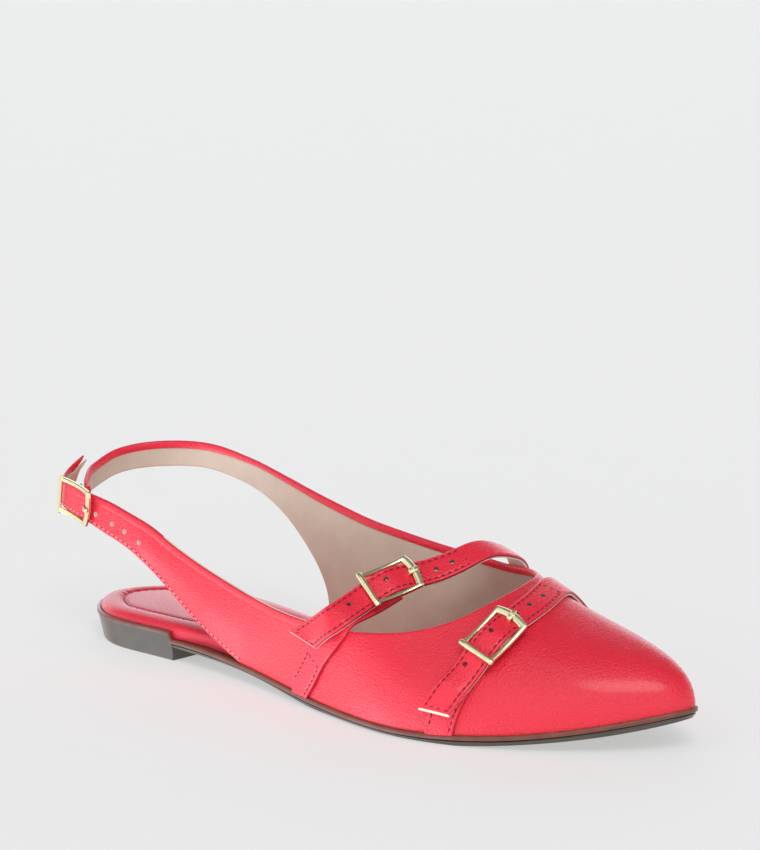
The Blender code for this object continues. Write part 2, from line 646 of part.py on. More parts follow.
def frame_path(under_bar):
    """Closed line of the buckle's frame in its own axes: along the strap, along the bars and outwards."""
    reach, side = BUCKLE_REACH, BUCKLE_SIDE
    corner = 1.2
    path = []
    for share in np.linspace(-1.0, 1.0, 5):
        path.append((reach + BOW * (1.0 - share * share), share * (side - corner), 0.0))
    for along in np.linspace(reach - corner, -reach + corner, 7):
        path.append((along, side, -under_bar * (1.0 - (along / reach) ** 2)))
    for share in np.linspace(1.0, -1.0, 3):
        path.append((-reach, share * (side - corner), 0.0))
    for along in np.linspace(-reach + corner, reach - corner, 7):
        path.append((along, -side, -under_bar * (1.0 - (along / reach) ** 2)))
    return np.array(path)


def place(points, seat):
    """Points from a buckle's own axes into the shoe."""
    centre, ahead, beside, out = seat
    return centre + points[:, :1] * ahead + points[:, 1:2] * beside + points[:, 2:] * out


def build_buckle(name, seat, bar_drop):
    """Frame with a middle bar under the strap and a longer bar with round ends near the strap's free end."""
    gold = (0.83, 0.70, 0.38)
    points, faces = tube(frame_path(bar_drop), BUCKLE_BAR, 8, True)
    frame = mesh_object(name, place(points, seat), faces, gold, 0.25, 1.0)
    middle = [(0.0, share * BUCKLE_SIDE, -bar_drop) for share in (-1.0, 0.0, 1.0)]
    knob = [(-BUCKLE_REACH, share * KNOB_REACH, 0.0) for share in (-1.0, 0.0, 1.0)]
    bars = {"middle": (middle, MIDDLE_BAR), "knob": (knob, KNOB_BAR)}
    for part, (path, radius) in bars.items():
        points, faces = tube(path, radius, 8, False)
        helper = mesh_object(name + "_" + part, place(points, seat), faces, gold, 0.25, 1.0)
        helper.hide_render = True
        helper.display_type = "WIRE"
        join = frame.modifiers.new(part, "BOOLEAN")
        join.operation = "UNION"
        join.solver = "EXACT"
        join.object = helper
    return frame


def build_prong(name, seat):
    """Short pin out of the strap and over the buckle's bowed bar."""
    bar = BUCKLE_REACH + BOW
    over = BUCKLE_BAR + GAP + PRONG_BAR
    heights = ((-3.4, 0.75), (-1.6, over - 0.1), (0.0, over), (1.3, over - 0.3))
    path = [(bar + ahead, 0.0, height) for ahead, height in heights]
    points, faces = tube(path, PRONG_BAR, 6, False)
    return mesh_object(name, place(points, seat), faces, (0.83, 0.70, 0.38), 0.25, 1.0)


def centred(ends, line, cross):
    """The spot between a buckle's two ends, moved across to the mean of the strap's own line."""
    return ends + cross * ((line.mean(axis=0) - ends) * cross).sum()


def strap_seat(table, row, width, thick, rest, clear):
    """Place of a buckle on a strap, clear of it: over the table's row that carries the middle bar."""
    under, outer, ahead, facing, beside, knots, fine = ribbon_grids(table, width, thick, rest, 4, 3)
    at = int(np.argmin(np.abs(fine - knots[row])))
    span = int(np.argmin(np.abs(fine - knots[row] - BUCKLE_REACH)))
    back = int(np.argmin(np.abs(fine - knots[row] + BUCKLE_REACH)))
    ends = (outer[span, 1] + outer[back, 1]) / 2.0
    along = outer[span, 1] - outer[back, 1]
    along /= np.linalg.norm(along)
    cross = outer[at, 2] - outer[at, 0]
    cross -= along * (cross * along).sum()
    cross /= np.linalg.norm(cross)
    out = np.cross(cross, along)
    if (out * facing[at]).sum() < 0.0:
        out = -out
    centre = centred(ends, outer[back : span + 1, 1], cross)
    return centre + out * (clear + BUCKLE_BAR), along, cross, out


def sling_seat(clear):
    """Place of the sling's buckle, clear of the outer face of the lateral strap."""
    grid, normal = upper_surface(10, 8)
    at = round(10 * SLING_BUCKLE_ROW)
    middle = grid[:, 4]
    far = np.linalg.norm(middle - middle[at], axis=1)
    front = at + int(np.argmin(np.abs(far[at : at + 40] - BUCKLE_REACH)))
    back = at - int(np.argmin(np.abs(far[at::-1][:30] - BUCKLE_REACH)))
    along = middle[front] - middle[back]
    along /= np.linalg.norm(along)
    cross = grid[at, -1] - grid[at, 0]
    cross -= along * (cross * along).sum()
    cross /= np.linalg.norm(cross)
    out = np.cross(cross, along)
    if (out * normal[at, 4]).sum() < 0.0:
        out = -out
    centre = centred((middle[front] + middle[back]) / 2.0, middle[back : front + 1], cross)
    return centre + out * (clear + BUCKLE_BAR), along, cross, out


def stand_on_origin():
    """Moves every object until the origin is under the middle of the shoe's box; gives the move in mm."""
    points = []
    for obj in bpy.data.objects:
        points += [tuple(v.co) for v in obj.data.vertices]
    points = np.array(points) / MM
    low = points.min(axis=0)
    high = points.max(axis=0)
    shift = -np.array([(low[0] + high[0]) / 2.0, (low[1] + high[1]) / 2.0, low[2]])
    for obj in bpy.data.objects:
        obj.location = shift * MM
    return shift


clear_scene()
build_sole()
build_footbed()
build_upper()
REST = resting_place()
build_ribbon("strap_rear", STRAP_REAR, STRAP_WIDTH, STRAP_THICK, REST, CUT_REAR, (-1,))
build_ribbon("strap_front", STRAP_FRONT, STRAP_WIDTH, STRAP_THICK, REST, CUT_FRONT, (-1,))
build_ribbon("anchor_rear", TAB_REAR, STRAP_WIDTH, TAB_THICK, REST, 0.0, (0,))
build_ribbon("anchor_front", TAB_FRONT, STRAP_WIDTH, TAB_THICK, REST, 0.0, (0,))
SEATS = {
    "rear": (strap_seat(STRAP_REAR, 4, STRAP_WIDTH, STRAP_THICK, REST, REAR_CLEAR), REAR_BAR_DROP),
    "front": (strap_seat(STRAP_FRONT, 3, STRAP_WIDTH, STRAP_THICK, REST, FRONT_CLEAR), FRONT_BAR_DROP),
    "sling": (sling_seat(SLING_CLEAR), SLING_BAR_DROP),
}
for spot, (seat, drop) in SEATS.items():
    build_buckle("buckle_" + spot, seat, drop)
    build_prong("prong_" + spot, seat)
SHIFT_MM = stand_on_origin()
print("moved by", np.round(SHIFT_MM, 3), "mm")
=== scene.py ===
# %% [markdown]
# # A flat pointed slingback for the right foot
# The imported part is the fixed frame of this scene: it has the true sizes, and nothing in it is moved or
# changed. This script draws what the frame leaves out: rolled leather edges, a lining, stitches, punched
# holes, bevelled buckles and the finishes. Blender measures in metres, and a shoemaker in millimetres. So
# every piece is drawn in millimetres, with x from the back of the heel to the toe, y to the inner side of
# the foot and z up, and moves into the frame when its mesh is made.

import math
from collections import namedtuple

import bmesh
import bpy
import mathutils
import numpy as np
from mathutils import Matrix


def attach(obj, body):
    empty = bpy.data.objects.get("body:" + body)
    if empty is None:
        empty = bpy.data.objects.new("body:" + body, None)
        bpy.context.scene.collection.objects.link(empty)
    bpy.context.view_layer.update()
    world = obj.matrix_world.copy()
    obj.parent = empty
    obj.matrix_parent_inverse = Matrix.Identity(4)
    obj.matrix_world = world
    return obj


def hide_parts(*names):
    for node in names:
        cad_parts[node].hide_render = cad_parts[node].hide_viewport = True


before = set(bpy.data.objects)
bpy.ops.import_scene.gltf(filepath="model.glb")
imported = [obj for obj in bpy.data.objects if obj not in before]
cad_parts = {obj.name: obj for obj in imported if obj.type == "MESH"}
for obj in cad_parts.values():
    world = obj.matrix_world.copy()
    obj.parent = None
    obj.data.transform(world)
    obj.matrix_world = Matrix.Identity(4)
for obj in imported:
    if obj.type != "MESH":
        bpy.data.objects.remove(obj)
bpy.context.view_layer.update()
print("CAD nodes:", ", ".join(sorted(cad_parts)))

# %% [markdown]
# ## Helpers for pieces
# A piece is a mesh with one or more finishes, and each face knows which finish it has. Most pieces of a
# shoe are strips and shells, so one function is enough for their faces: it joins closed loops of points,
# row after row. Normals are made to agree by Blender, and edges sharper than a given angle stay crisp, as
# the cut edge of leather does.

# %% From millimetres to the frame
MM = 0.001
FRAME_ORIGIN = np.array([122.05, -4.741, 0.0])
CRISP_DEGREES = 42.0


def closed_mesh(name, points, faces, finishes, kinds=None):
    """A mesh in metres whose faces look outwards; kinds gives each face's place among the finishes."""
    mesh = bpy.data.meshes.new(name)
    mesh.from_pydata(((np.asarray(points, float) - FRAME_ORIGIN) * MM).tolist(), [], faces)
    for finish in finishes:
        mesh.materials.append(finish)
    if kinds is not None:
        mesh.polygons.foreach_set("material_index", np.asarray(kinds, dtype=np.int32))
    shape = bmesh.new()
    shape.from_mesh(mesh)
    bmesh.ops.recalc_face_normals(shape, faces=shape.faces)
    shape.to_mesh(mesh)
    shape.free()
    return mesh


def in_scene(name, data):
    """A new object of the scene with this data."""
    made = bpy.data.objects.new(name, data)
    bpy.context.scene.collection.objects.link(made)
    return made


def make_piece(name, points, faces, finishes, kinds=None, node=None, crisp=CRISP_DEGREES):
    """A piece that rides on the frame's only body, and stands for a CAD node if one is named."""
    mesh = closed_mesh(name, points, faces, finishes, kinds)
    mesh.shade_smooth()
    mesh.set_sharp_from_angle(angle=math.radians(crisp))
    made = in_scene(name, mesh)
    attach(made, "root")
    if node:
        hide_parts(node)
    print(name, "has", len(mesh.polygons), "faces")
    return made


# %% Faces of lofted loops


def loft(loops, ring=False):
    """Faces between closed loops of points; a ring also joins the last loop to the first."""
    rows, count = loops.shape[:2]
    faces = []
    for r in range(rows if ring else rows - 1):
        n = (r + 1) % rows
        for k in range(count):
            m = (k + 1) % count
            faces.append((r * count + k, r * count + m, n * count + m, n * count + k))
    return faces


def end_caps(loops):
    """One face over the first loop and one over the last."""
    rows, count = loops.shape[:2]
    return [tuple(range(start, start + count)) for start in (0, (rows - 1) * count)]


def joined(parts):
    """Several lots of points and faces as one."""
    points = []
    faces = []
    for more, shape in parts:
        faces += [tuple(k + len(points) for k in face) for face in shape]
        points += list(more)
    return np.array(points), faces


def unit(ways):
    """Directions, one in each row, at length 1."""
    return ways / np.linalg.norm(ways, axis=-1)[..., None]


# %% [markdown]
# ## Helpers for finishes
# A finish is a small net of shader nodes. One function adds a node, sets its values and links its inputs,
# so that each material below reads as a list of what it is made of. Colours are written as they would be
# picked from a screen, as sRGB hex values, and one function turns them into the linear light that the
# renderer works in. Patterns are given in millimetres of the real object.

# %% Colours, nodes and patterns in millimetres


def linear(hex_colour):
    """An sRGB hex colour as linear red, green, blue and alpha."""
    screen = [int(hex_colour[i : i + 2], 16) / 255.0 for i in (1, 3, 5)]
    light = [c / 12.92 if c <= 0.04045 else ((c + 0.055) / 1.055) ** 2.4 for c in screen]
    return (*light, 1.0)


def connect(tree, node, links):
    """Links inputs by name; a source is a socket, or a node whose first output is meant."""
    for key, source in links.items():
        socket = source if isinstance(source, bpy.types.NodeSocket) else source.outputs[0]
        tree.links.new(socket, node.inputs[key])


def add_node(tree, kind, values, links, ramp=()):
    """A new node; values are properties or inputs by name, a ramp is pairs of place and hex colour."""
    node = tree.nodes.new(kind)
    for key, value in values.items():
        if isinstance(key, str) and hasattr(node, key):
            setattr(node, key, value)
        else:
            node.inputs[key].default_value = value
    for i, (place, colour) in enumerate(ramp):
        node.color_ramp.elements[i].position = place
        node.color_ramp.elements[i].color = linear(colour)
    connect(tree, node, links)
    return node


def new_finish(name, values):
    """A material with these shader values; gives it, its tree, the shader and the place on the piece."""
    finish = bpy.data.materials.new(name)
    finish.use_nodes = True
    tree = finish.node_tree
    shader = tree.nodes["Principled BSDF"]
    for key, value in values.items():
        shader.inputs[key].default_value = value
    place = add_node(tree, "ShaderNodeTexCoord", {}, {}).outputs["Object"]
    print("finish", name)
    return finish, tree, shader, {"Vector": place}


def per_metre(size_mm):
    """Scale of a noise or cell texture whose features are this many millimetres wide."""
    return 1.0 / (size_mm * MM)


def bands(pitch_mm):
    """Scale of a wave texture with this pitch in millimetres; its wave repeats every pi / 10 units."""
    return math.pi / 10.0 / (pitch_mm * MM)


# %% [markdown]
# ## Coral leather
# The upper, the straps and the footbed are covered with the same corrected-grain leather: the hide is
# sanded, embossed with a pebble, coloured with pigment and sprayed with a satin lacquer. The eye gets an
# even coral red, a fine pebble that shows where light glances off it, and a pale bloom at grazing angles
# from the lacquer. The pebble is a cell pattern, because embossed leather has closed round cells with
# valleys between them, and a soft noise keeps it from looking printed. The cut sides of the straps get a
# darker red with little grain, which is painted shade along their edges.

# %% Pebbled coral leather
PEBBLE_MM = 0.62
PEBBLE_EDGE = 0.35
WRINKLE_MM = 2.6
CLOUD_MM = 26.0
PEBBLE_OVER_WRINKLE = -4.5
LEATHER_RELIEF_MM = 0.05
LACQUER = {"IOR": 1.5, "Coat Weight": 0.3, "Coat Roughness": 0.2, "Coat IOR": 1.5}
LEATHER_BLOOM = {"Sheen Weight": 0.05, "Sheen Roughness": 0.45}


def coral_leather(name, deep, bright, roughness, grain):
    """Two close reds in soft clouds; the cells' valleys are lower and a little rougher than their tops."""
    finish, tree, shader, place = new_finish(name, {**LACQUER, **LEATHER_BLOOM})
    cloud = add_node(tree, "ShaderNodeTexNoise", {"Scale": per_metre(CLOUD_MM), "Detail": 3.0}, place)
    tone = add_node(tree, "ShaderNodeValToRGB", {}, {"Fac": cloud}, ((0.3, deep), (0.7, bright)))
    wrinkle = add_node(tree, "ShaderNodeTexNoise", {"Scale": per_metre(WRINKLE_MM), "Detail": 2.0}, place)
    cells = {"feature": "SMOOTH_F1", "Scale": per_metre(PEBBLE_MM), "Smoothness": PEBBLE_EDGE}
    pebble = add_node(tree, "ShaderNodeTexVoronoi", cells, place)
    mix = {"operation": "MULTIPLY_ADD", 1: PEBBLE_OVER_WRINKLE}
    relief = add_node(tree, "ShaderNodeMath", mix, {0: pebble, 2: wrinkle})
    span = {"From Min": 0.0, "From Max": 0.7, "To Min": roughness - 0.05, "To Max": roughness + 0.1}
    gloss = add_node(tree, "ShaderNodeMapRange", span, {"Value": pebble})
    height = {"Strength": grain, "Distance": LEATHER_RELIEF_MM * MM}
    bump = add_node(tree, "ShaderNodeBump", height, {"Height": relief})
    connect(tree, shader, {"Base Color": tone, "Roughness": gloss, "Normal": bump})
    return finish


UPPER_LEATHER = coral_leather("embossed_coral_leather", "#E11232", "#E71436", 0.42, 1.0)
STRAP_LEATHER = coral_leather("embossed_coral_strap_leather", "#EA1436", "#F0163A", 0.4, 1.0)
FOOTBED_LEATHER = coral_leather("padded_coral_leather", "#E0193A", "#E61C3D", 0.4, 0.5)
# The sides of the straps and tabs get this darker red as painted shade along their edges
STRAP_SIDE_SHADE = coral_leather("strap_side_painted_shade", "#9C1029", "#AE132F", 0.45, 0.3)

# %% [markdown]
# ## Lining, backing and thread
# The lining is a fine beige textile, brushed and glued inside the upper: it is matt, with a weave that
# shows only as a slight texture. The strap's reverse is a pale microfibre, seen as a cream face at the cut
# ends. Inside a punched hole the same pale layers show in the sling; in the straps the hole's wall is
# painted grey-brown as shade. The thread is twisted polyester, maroon on the straps and tabs, where its dark
# red is partly painted shade, pale coral on the quarters and red on the footbed, so that a stitch looks
# rope-like and slightly glossy. The needle holes between the pale stitches are dark marks of painted shade.

# %% Woven lining and microfibre backing
# A real weave repeats every 0.3 mm or so, too fine to show, so it is drawn coarser
WEAVE_MM = 0.75
BRUSHED_MM = 9.0
WEAVE_IN_TONE = 0.06
WEAVE_RELIEF_MM = 0.08


def woven(name, light, shade, roughness, relief):
    """Warp and weft as crossing waves, under a brushed cloud of two tones, with a soft fuzz."""
    fuzz = {"Roughness": roughness, "Sheen Weight": 0.25, "Sheen Roughness": 0.5}
    finish, tree, shader, place = new_finish(name, fuzz)
    yarns = {}
    for i, way in enumerate("XZ"):
        wave = {"bands_direction": way, "Scale": bands(WEAVE_MM), "Distortion": 0.6}
        yarns[i] = add_node(tree, "ShaderNodeTexWave", wave, place).outputs["Fac"]
    cross = add_node(tree, "ShaderNodeMath", {"operation": "ADD"}, yarns)
    cloud = add_node(tree, "ShaderNodeTexNoise", {"Scale": per_metre(BRUSHED_MM), "Detail": 4.0}, place)
    mix = {"operation": "MULTIPLY_ADD", 1: WEAVE_IN_TONE}
    mixed = add_node(tree, "ShaderNodeMath", mix, {0: cross, 2: cloud})
    tone = add_node(tree, "ShaderNodeValToRGB", {}, {"Fac": mixed}, ((0.35, shade), (0.95, light)))
    height = {"Strength": relief, "Distance": WEAVE_RELIEF_MM * MM}
    bump = add_node(tree, "ShaderNodeBump", height, {"Height": cross})
    connect(tree, shader, {"Base Color": tone, "Normal": bump})
    return finish


LINING = woven("brushed_beige_lining", "#CFBFAD", "#C2B09F", 0.85, 0.25)
BACKING = woven("cream_microfibre_backing", "#F0E8DA", "#E2D7C4", 0.8, 0.25)
# Painted shade: a tan-brown line along the lining's lower edge
TAN_LINE_SHADE = woven("tan_line_painted_shade", "#C49A78", "#A97C5C", 0.75, 0.2)
# Painted shade: the strap holes' walls are grey-brown, where little light gets in
SHADED_STRAP_HOLE_WALL = woven("punched_strap_hole_wall_painted_shade", "#857A6B", "#695F52", 0.9, 0.3)
PALE_HOLE_WALL = woven("punched_sling_hole_wall", "#F2ECE2", "#D8CEC0", 0.9, 0.3)

# %% Twisted polyester thread
# The twist of a real sewing thread is about as long as this, and shows only close up
THREAD_TWIST_MM = 0.5
THREAD_RELIEF_MM = 0.05


def thread(name, light, shade, roughness):
    """Slanted bands of two tones, raised and sunk like the plies of a twisted thread."""
    finish, tree, shader, place = new_finish(name, {"Roughness": roughness, "Sheen Weight": 0.15})
    wave = {"bands_direction": "DIAGONAL", "Scale": bands(THREAD_TWIST_MM)}
    twist = add_node(tree, "ShaderNodeTexWave", wave, place).outputs["Fac"]
    tone = add_node(tree, "ShaderNodeValToRGB", {}, {"Fac": twist}, ((0.0, shade), (1.0, light)))
    height = {"Strength": 0.4, "Distance": THREAD_RELIEF_MM * MM}
    bump = add_node(tree, "ShaderNodeBump", height, {"Height": twist})
    connect(tree, shader, {"Base Color": tone, "Normal": bump})
    return finish


# The maroon is partly the thread's own darker red and partly painted shade
MAROON_THREAD_AND_SHADE = thread("twisted_maroon_thread_and_painted_shade", "#5E1020", "#3A0A14", 0.55)
CORAL_THREAD = thread("twisted_coral_thread", "#FFB4B6", "#F2808C", 0.5)
RED_THREAD = thread("twisted_red_thread", "#A80F2C", "#860B22", 0.5)
# Painted shade of the needle holes, as dark marks between the stitches
NEEDLE_HOLE_SHADE = thread("needle_hole_shadow", "#5A1420", "#3A0A12", 0.8)

# %% [markdown]
# ## Plated buckles and moulded rubber
# The buckles are zinc castings with a thin pale gold plating, polished: a metal, so its colour is in its
# reflection, with a small roughness and a faint waviness from the casting. The sole unit is moulded
# rubber, reddish brown at the lip and grey-brown on the side, with the soft gloss of a polished mould,
# which lets it mirror the pale floor. A thin ochre line of cement shows where the upper meets the lip.

# %% Polished plating
CASTING_WAVE_MM = 1.8
CASTING_RELIEF_MM = 0.1


def plated_metal(name, colour, roughness):
    """One colour all over; the casting's waves change the gloss and tilt the mirror a little."""
    finish, tree, shader, place = new_finish(name, {"Base Color": linear(colour), "Metallic": 1.0})
    grain = {"Scale": per_metre(CASTING_WAVE_MM), "Detail": 2.0}
    wave = add_node(tree, "ShaderNodeTexNoise", grain, place)
    span = {"To Min": roughness - 0.06, "To Max": roughness + 0.08}
    gloss = add_node(tree, "ShaderNodeMapRange", span, {"Value": wave})
    height = {"Strength": 0.12, "Distance": CASTING_RELIEF_MM * MM}
    bump = add_node(tree, "ShaderNodeBump", height, {"Height": wave})
    connect(tree, shader, {"Roughness": gloss, "Normal": bump})
    return finish


GOLD = plated_metal("pale_gold_plating", "#F5EDC2", 0.2)

# %% Moulded rubber
# A polished mould leaves grit finer than 0.1 mm, too fine to show, so it is drawn coarser
SCUFF_MM = 4.0
GRIT_MM = 0.4
GRIT_RELIEF_MM = 0.06


def moulded_rubber(name, light, shade, roughness, coat):
    """Scuffs shift the tone and the gloss together, and a fine grit breaks up the reflection."""
    finish, tree, shader, place = new_finish(name, {"IOR": 1.52, "Coat Weight": coat, "Coat Roughness": 0.2})
    scuff = add_node(tree, "ShaderNodeTexNoise", {"Scale": per_metre(SCUFF_MM), "Detail": 5.0}, place)
    grit = add_node(tree, "ShaderNodeTexNoise", {"Scale": per_metre(GRIT_MM), "Detail": 2.0}, place)
    tone = add_node(tree, "ShaderNodeValToRGB", {}, {"Fac": scuff}, ((0.3, shade), (0.75, light)))
    span = {"To Min": roughness - 0.07, "To Max": roughness + 0.1}
    gloss = add_node(tree, "ShaderNodeMapRange", span, {"Value": scuff})
    height = {"Strength": 0.1, "Distance": GRIT_RELIEF_MM * MM}
    bump = add_node(tree, "ShaderNodeBump", height, {"Height": grit})
    connect(tree, shader, {"Base Color": tone, "Roughness": gloss, "Normal": bump})
    return finish


SOLE_RUBBER = moulded_rubber("moulded_grey_brown_rubber", "#3F3526", "#33291D", 0.32, 0.4)
SOLE_LIP = moulded_rubber("moulded_dark_brown_lip", "#7A3D31", "#632E24", 0.36, 0.25)
SOLE_SEAM = moulded_rubber("ochre_cement_line", "#8A5A2E", "#6A4220", 0.5, 0.0)

# %% [markdown]
# ## The shoemaker's pattern
# A shoe is cut to a pattern: the outline of the sole, the rows of the upper and the run of each strap. The
# same few sections that shaped the solids are written here again, so that the pieces below can follow them
# at a much finer step. A natural cubic spline joins the sections, as a thin wooden lath bent round pins
# would.

# %% Sole sections
# Half widths each side of the axis, height of the top edge and of the underside
LENGTH = 251.0
TIP_ACROSS = 7.6
HEEL_BACK_TOP = 7.4
HEEL_BACK_ARCH = 4.2
TIP_TOP = 14.4
TIP_ARCH = 10.6
Section = namedtuple("Section", "along lateral medial edge_top arch")
SOLE_SECTIONS = [
    Section(*numbers)
    for numbers in (
        (9.0, 16.4, 17.2, 7.5, 4.2),
        (25.0, 24.6, 25.0, 7.8, 4.4),
        (43.0, 25.4, 25.8, 7.9, 4.5),
        (75.0, 27.0, 22.8, 7.6, 4.4),
        (100.0, 30.0, 20.4, 5.7, 2.8),
        (126.0, 35.6, 22.6, 3.9, 0.3),
        (151.0, 40.6, 29.2, 3.1, -0.4),
        (171.0, 42.2, 33.9, 3.0, -0.5),
        (191.0, 38.0, 34.4, 3.6, -0.1),
        (211.0, 28.6, 30.6, 5.4, 1.8),
        (229.0, 17.2, 24.6, 8.7, 4.8),
        (241.5, 6.4, 18.2, 11.7, 7.7),
    )
]
print(len(SOLE_SECTIONS), "sections of the sole")

# %% Rows of the upper that stand on the sole
# Foot along the sole (side -1 is lateral), top edge, and the bend of the row between them: lean of the
# foot and slope of the top in degrees, and the two handle lengths as shares of the row
Row = namedtuple("Row", "side foot top_x top_y top_z lean slope foot_pull top_pull")
SOLE_ROWS = [
    Row(*numbers)
    for numbers in (
        (-1, 91.0, 99.0, -31.2, 30.9, 4.0, 84.0, 0.33, 0.33),
        (-1, 112.0, 116.0, -34.6, 29.3, 4.0, 82.0, 0.33, 0.33),
        (-1, 135.0, 137.0, -37.2, 28.9, 5.0, 78.0, 0.35, 0.33),
        (-1, 158.0, 155.0, -37.6, 30.0, 6.0, 66.0, 0.40, 0.33),
        (-1, 180.0, 169.0, -33.5, 31.8, 8.0, 52.0, 0.45, 0.35),
        (-1, 203.0, 180.0, -26.0, 35.2, 10.0, 38.0, 0.42, 0.40),
        (-1, 226.0, 186.5, -17.5, 39.6, 8.0, 30.0, 0.36, 0.45),
        (-1, 241.5, 189.5, -8.5, 43.0, 0.0, 26.0, 0.28, 0.48),
        (0, 251.0, 189.0, 0.0, 44.5, -2.0, 25.0, 0.25, 0.50),
        (1, 241.5, 187.0, 7.5, 45.2, 5.0, 28.0, 0.32, 0.48),
        (1, 226.0, 182.6, 14.0, 44.6, 8.0, 36.0, 0.38, 0.47),
        (1, 203.0, 175.0, 19.5, 44.0, 6.0, 50.0, 0.42, 0.40),
        (1, 180.0, 164.0, 23.0, 43.0, 4.0, 64.0, 0.42, 0.35),
        (1, 158.0, 150.0, 24.6, 43.4, 2.0, 74.0, 0.38, 0.33),
        (1, 135.0, 134.0, 23.6, 44.8, 0.0, 82.0, 0.35, 0.33),
        (1, 112.0, 112.0, 20.6, 48.3, 0.0, 86.0, 0.33, 0.33),
        (1, 86.0, 93.0, 21.2, 51.4, 0.0, 88.0, 0.33, 0.33),
    )
]
LATERAL_BEND = (2.0, 86.0, 0.33, 0.33)
MEDIAL_BEND = (0.0, 88.0, 0.33, 0.33)
print(len(SOLE_ROWS), "rows of the upper stand on the sole")

# %% Rows of the quarters and the sling
# Lower edge and upper edge of each row: forwards from the sling's free end on the outer side, and on the
# inner side back to the sling's other end
LATERAL_EDGES = (
    ((-6.9, -11.0, 51.5), (-5.1, -9.3, 60.3)),
    ((-6.4, -14.6, 48.9), (-5.6, -13.8, 57.8)),
    ((-4.4, -18.8, 46.6), (-3.9, -18.4, 56.3)),
    ((0.4, -24.2, 45.7), (0.8, -23.9, 55.5)),
    ((8.0, -27.5, 45.0), (8.2, -27.4, 54.7)),
    ((16.4, -28.3, 43.4), (17.0, -28.3, 53.3)),
    ((26.6, -28.1, 40.1), (28.6, -27.9, 51.2)),
    ((36.0, -27.8, 37.0), (38.5, -27.6, 48.5)),
    ((44.4, -26.8, 32.2), (47.0, -26.8, 45.6)),
    ((51.4, -26.4, 27.7), (57.0, -26.8, 41.3)),
    ((59.0, -26.8, 23.0), (70.0, -27.8, 37.2)),
    ((72.2, -28.0, 15.7), (84.0, -29.4, 33.9)),
)
MEDIAL_EDGES = (
    ((85.4, 21.5, 17.8), (78.0, 22.6, 54.1)),
    ((80.2, 22.3, 27.6), (68.0, 23.6, 56.1)),
    ((72.2, 23.2, 35.9), (58.0, 24.6, 58.1)),
    ((60.9, 24.4, 44.2), (48.0, 25.8, 59.9)),
    ((45.0, 26.2, 50.4), (38.0, 27.0, 61.2)),
    ((31.0, 27.6, 52.8), (28.0, 27.8, 62.3)),
    ((18.0, 27.4, 53.9), (17.0, 27.2, 62.8)),
    ((6.5, 22.6, 53.6), (6.0, 22.3, 62.6)),
    ((-1.5, 14.5, 52.9), (-1.7, 14.3, 61.8)),
    ((-5.8, 5.0, 51.0), (-5.9, 4.8, 59.8)),
    ((-5.4, -2.4, 48.9), (-5.4, -2.4, 57.7)),
    ((-2.9, -8.7, 47.9), (-2.9, -8.7, 56.5)),
    ((1.2, -13.8, 47.0), (1.2, -13.8, 55.5)),
    ((5.4, -18.2, 46.4), (5.4, -18.2, 54.6)),
    ((10.8, -22.2, 45.4), (10.8, -22.2, 53.4)),
)
print(len(LATERAL_EDGES), "lateral and", len(MEDIAL_EDGES), "medial rows behind them")

# %% Straps and tabs
# Underside of the ribbon (x, y, z), its outward direction, whether it lies on the upper (1) or spans free
# (0), and its lift from there
STRAP_REAR = (
    (131.6, -40.0, 23.6, 0.15, -0.95, 0.2, 0.0, 0.0),
    (137.8, -40.2, 27.7, 0.15, -0.93, 0.3, 0.0, 0.0),
    (145.3, -40.9, 32.6, 0.3, -0.8, 0.5, 0.0, 0.0),
    (148.6, -28.3, 38.5, 0.45, -0.55, 0.70, 0.0, 0.3),
    (151.4, -20.5, 41.2, 0.47, -0.52, 0.70, 0.0, 2.4),
    (154.8, -13.4, 43.6, 0.47, -0.50, 0.72, 0.0, 0.0),
    (162.1, 0.9, 47.5, 0.42, -0.30, 0.86, 0.0, 0.0),
    (165.0, 9.0, 49.7, 0.36, 0.0, 0.93, 0.0, 0.0),
    (166.4, 16.0, 48.0, 0.30, 0.35, 0.88, 0.0, 0.2),
    (165.4, 23.2, 43.4, 0.20, 0.70, 0.68, 0.3, 0.6),
    (166.6, 27.5, 36.0, 0.15, 0.90, 0.40, 1.0, 0.4),
    (168.5, 31.5, 22.0, 0.05, 1.0, 0.10, 1.0, 0.4),
    (169.0, 33.2, 5.0, 0.0, 1.0, 0.0, 1.0, 0.3),
)
STRAP_FRONT = (
    (189.3, -42.0, 11.0, 0.45, -0.85, 0.3, 0.0, 0.0),
    (193.1, -37.8, 19.1, 0.45, -0.8, 0.4, 0.0, 0.0),
    (195.2, -28.8, 26.0, 0.3, -0.65, 0.7, 1.0, 2.0),
    (197.4, -22.4, 31.8, 0.35, -0.55, 0.75, 1.0, 4.0),
    (198.6, -15.0, 36.6, 0.35, -0.45, 0.8, 1.0, 1.7),
    (198.2, -3.6, 40.4, 0.4, -0.25, 0.88, 1.0, 0.5),
    (194.4, 8.0, 42.0, 0.35, 0.1, 0.93, 1.0, 0.5),
    (191.4, 18.0, 39.2, 0.25, 0.5, 0.83, 1.0, 0.7),
    (190.6, 26.0, 31.2, 0.2, 0.8, 0.6, 1.0, 0.6),
    (191.0, 31.0, 18.0, 0.15, 1.0, 0.2, 1.0, 0.4),
    (191.0, 32.5, 5.0, 0.1, 1.0, 0.0, 1.0, 0.3),
)
TAB_REAR = (
    (125.6, -34.9, 6.0, -0.2, -1.0, 0.0, 1.0, 0.4),
    (131.0, -36.5, 12.4, -0.1, -1.0, 0.0, 1.0, 0.4),
    (137.2, -37.4, 20.6, 0.0, -1.0, 0.2, 1.0, 0.4),
    (143.6, -37.6, 27.2, 0.2, -0.9, 0.4, 1.0, 0.5),
    (146.3, -38.3, 32.0, 0.3, -0.8, 0.5, 0.0, 0.0),
    (148.2, -30.1, 35.6, 0.45, -0.6, 0.65, 0.0, -0.3),
    (151.8, -19.5, 40.7, 0.47, -0.52, 0.70, 0.0, -1.2),
)
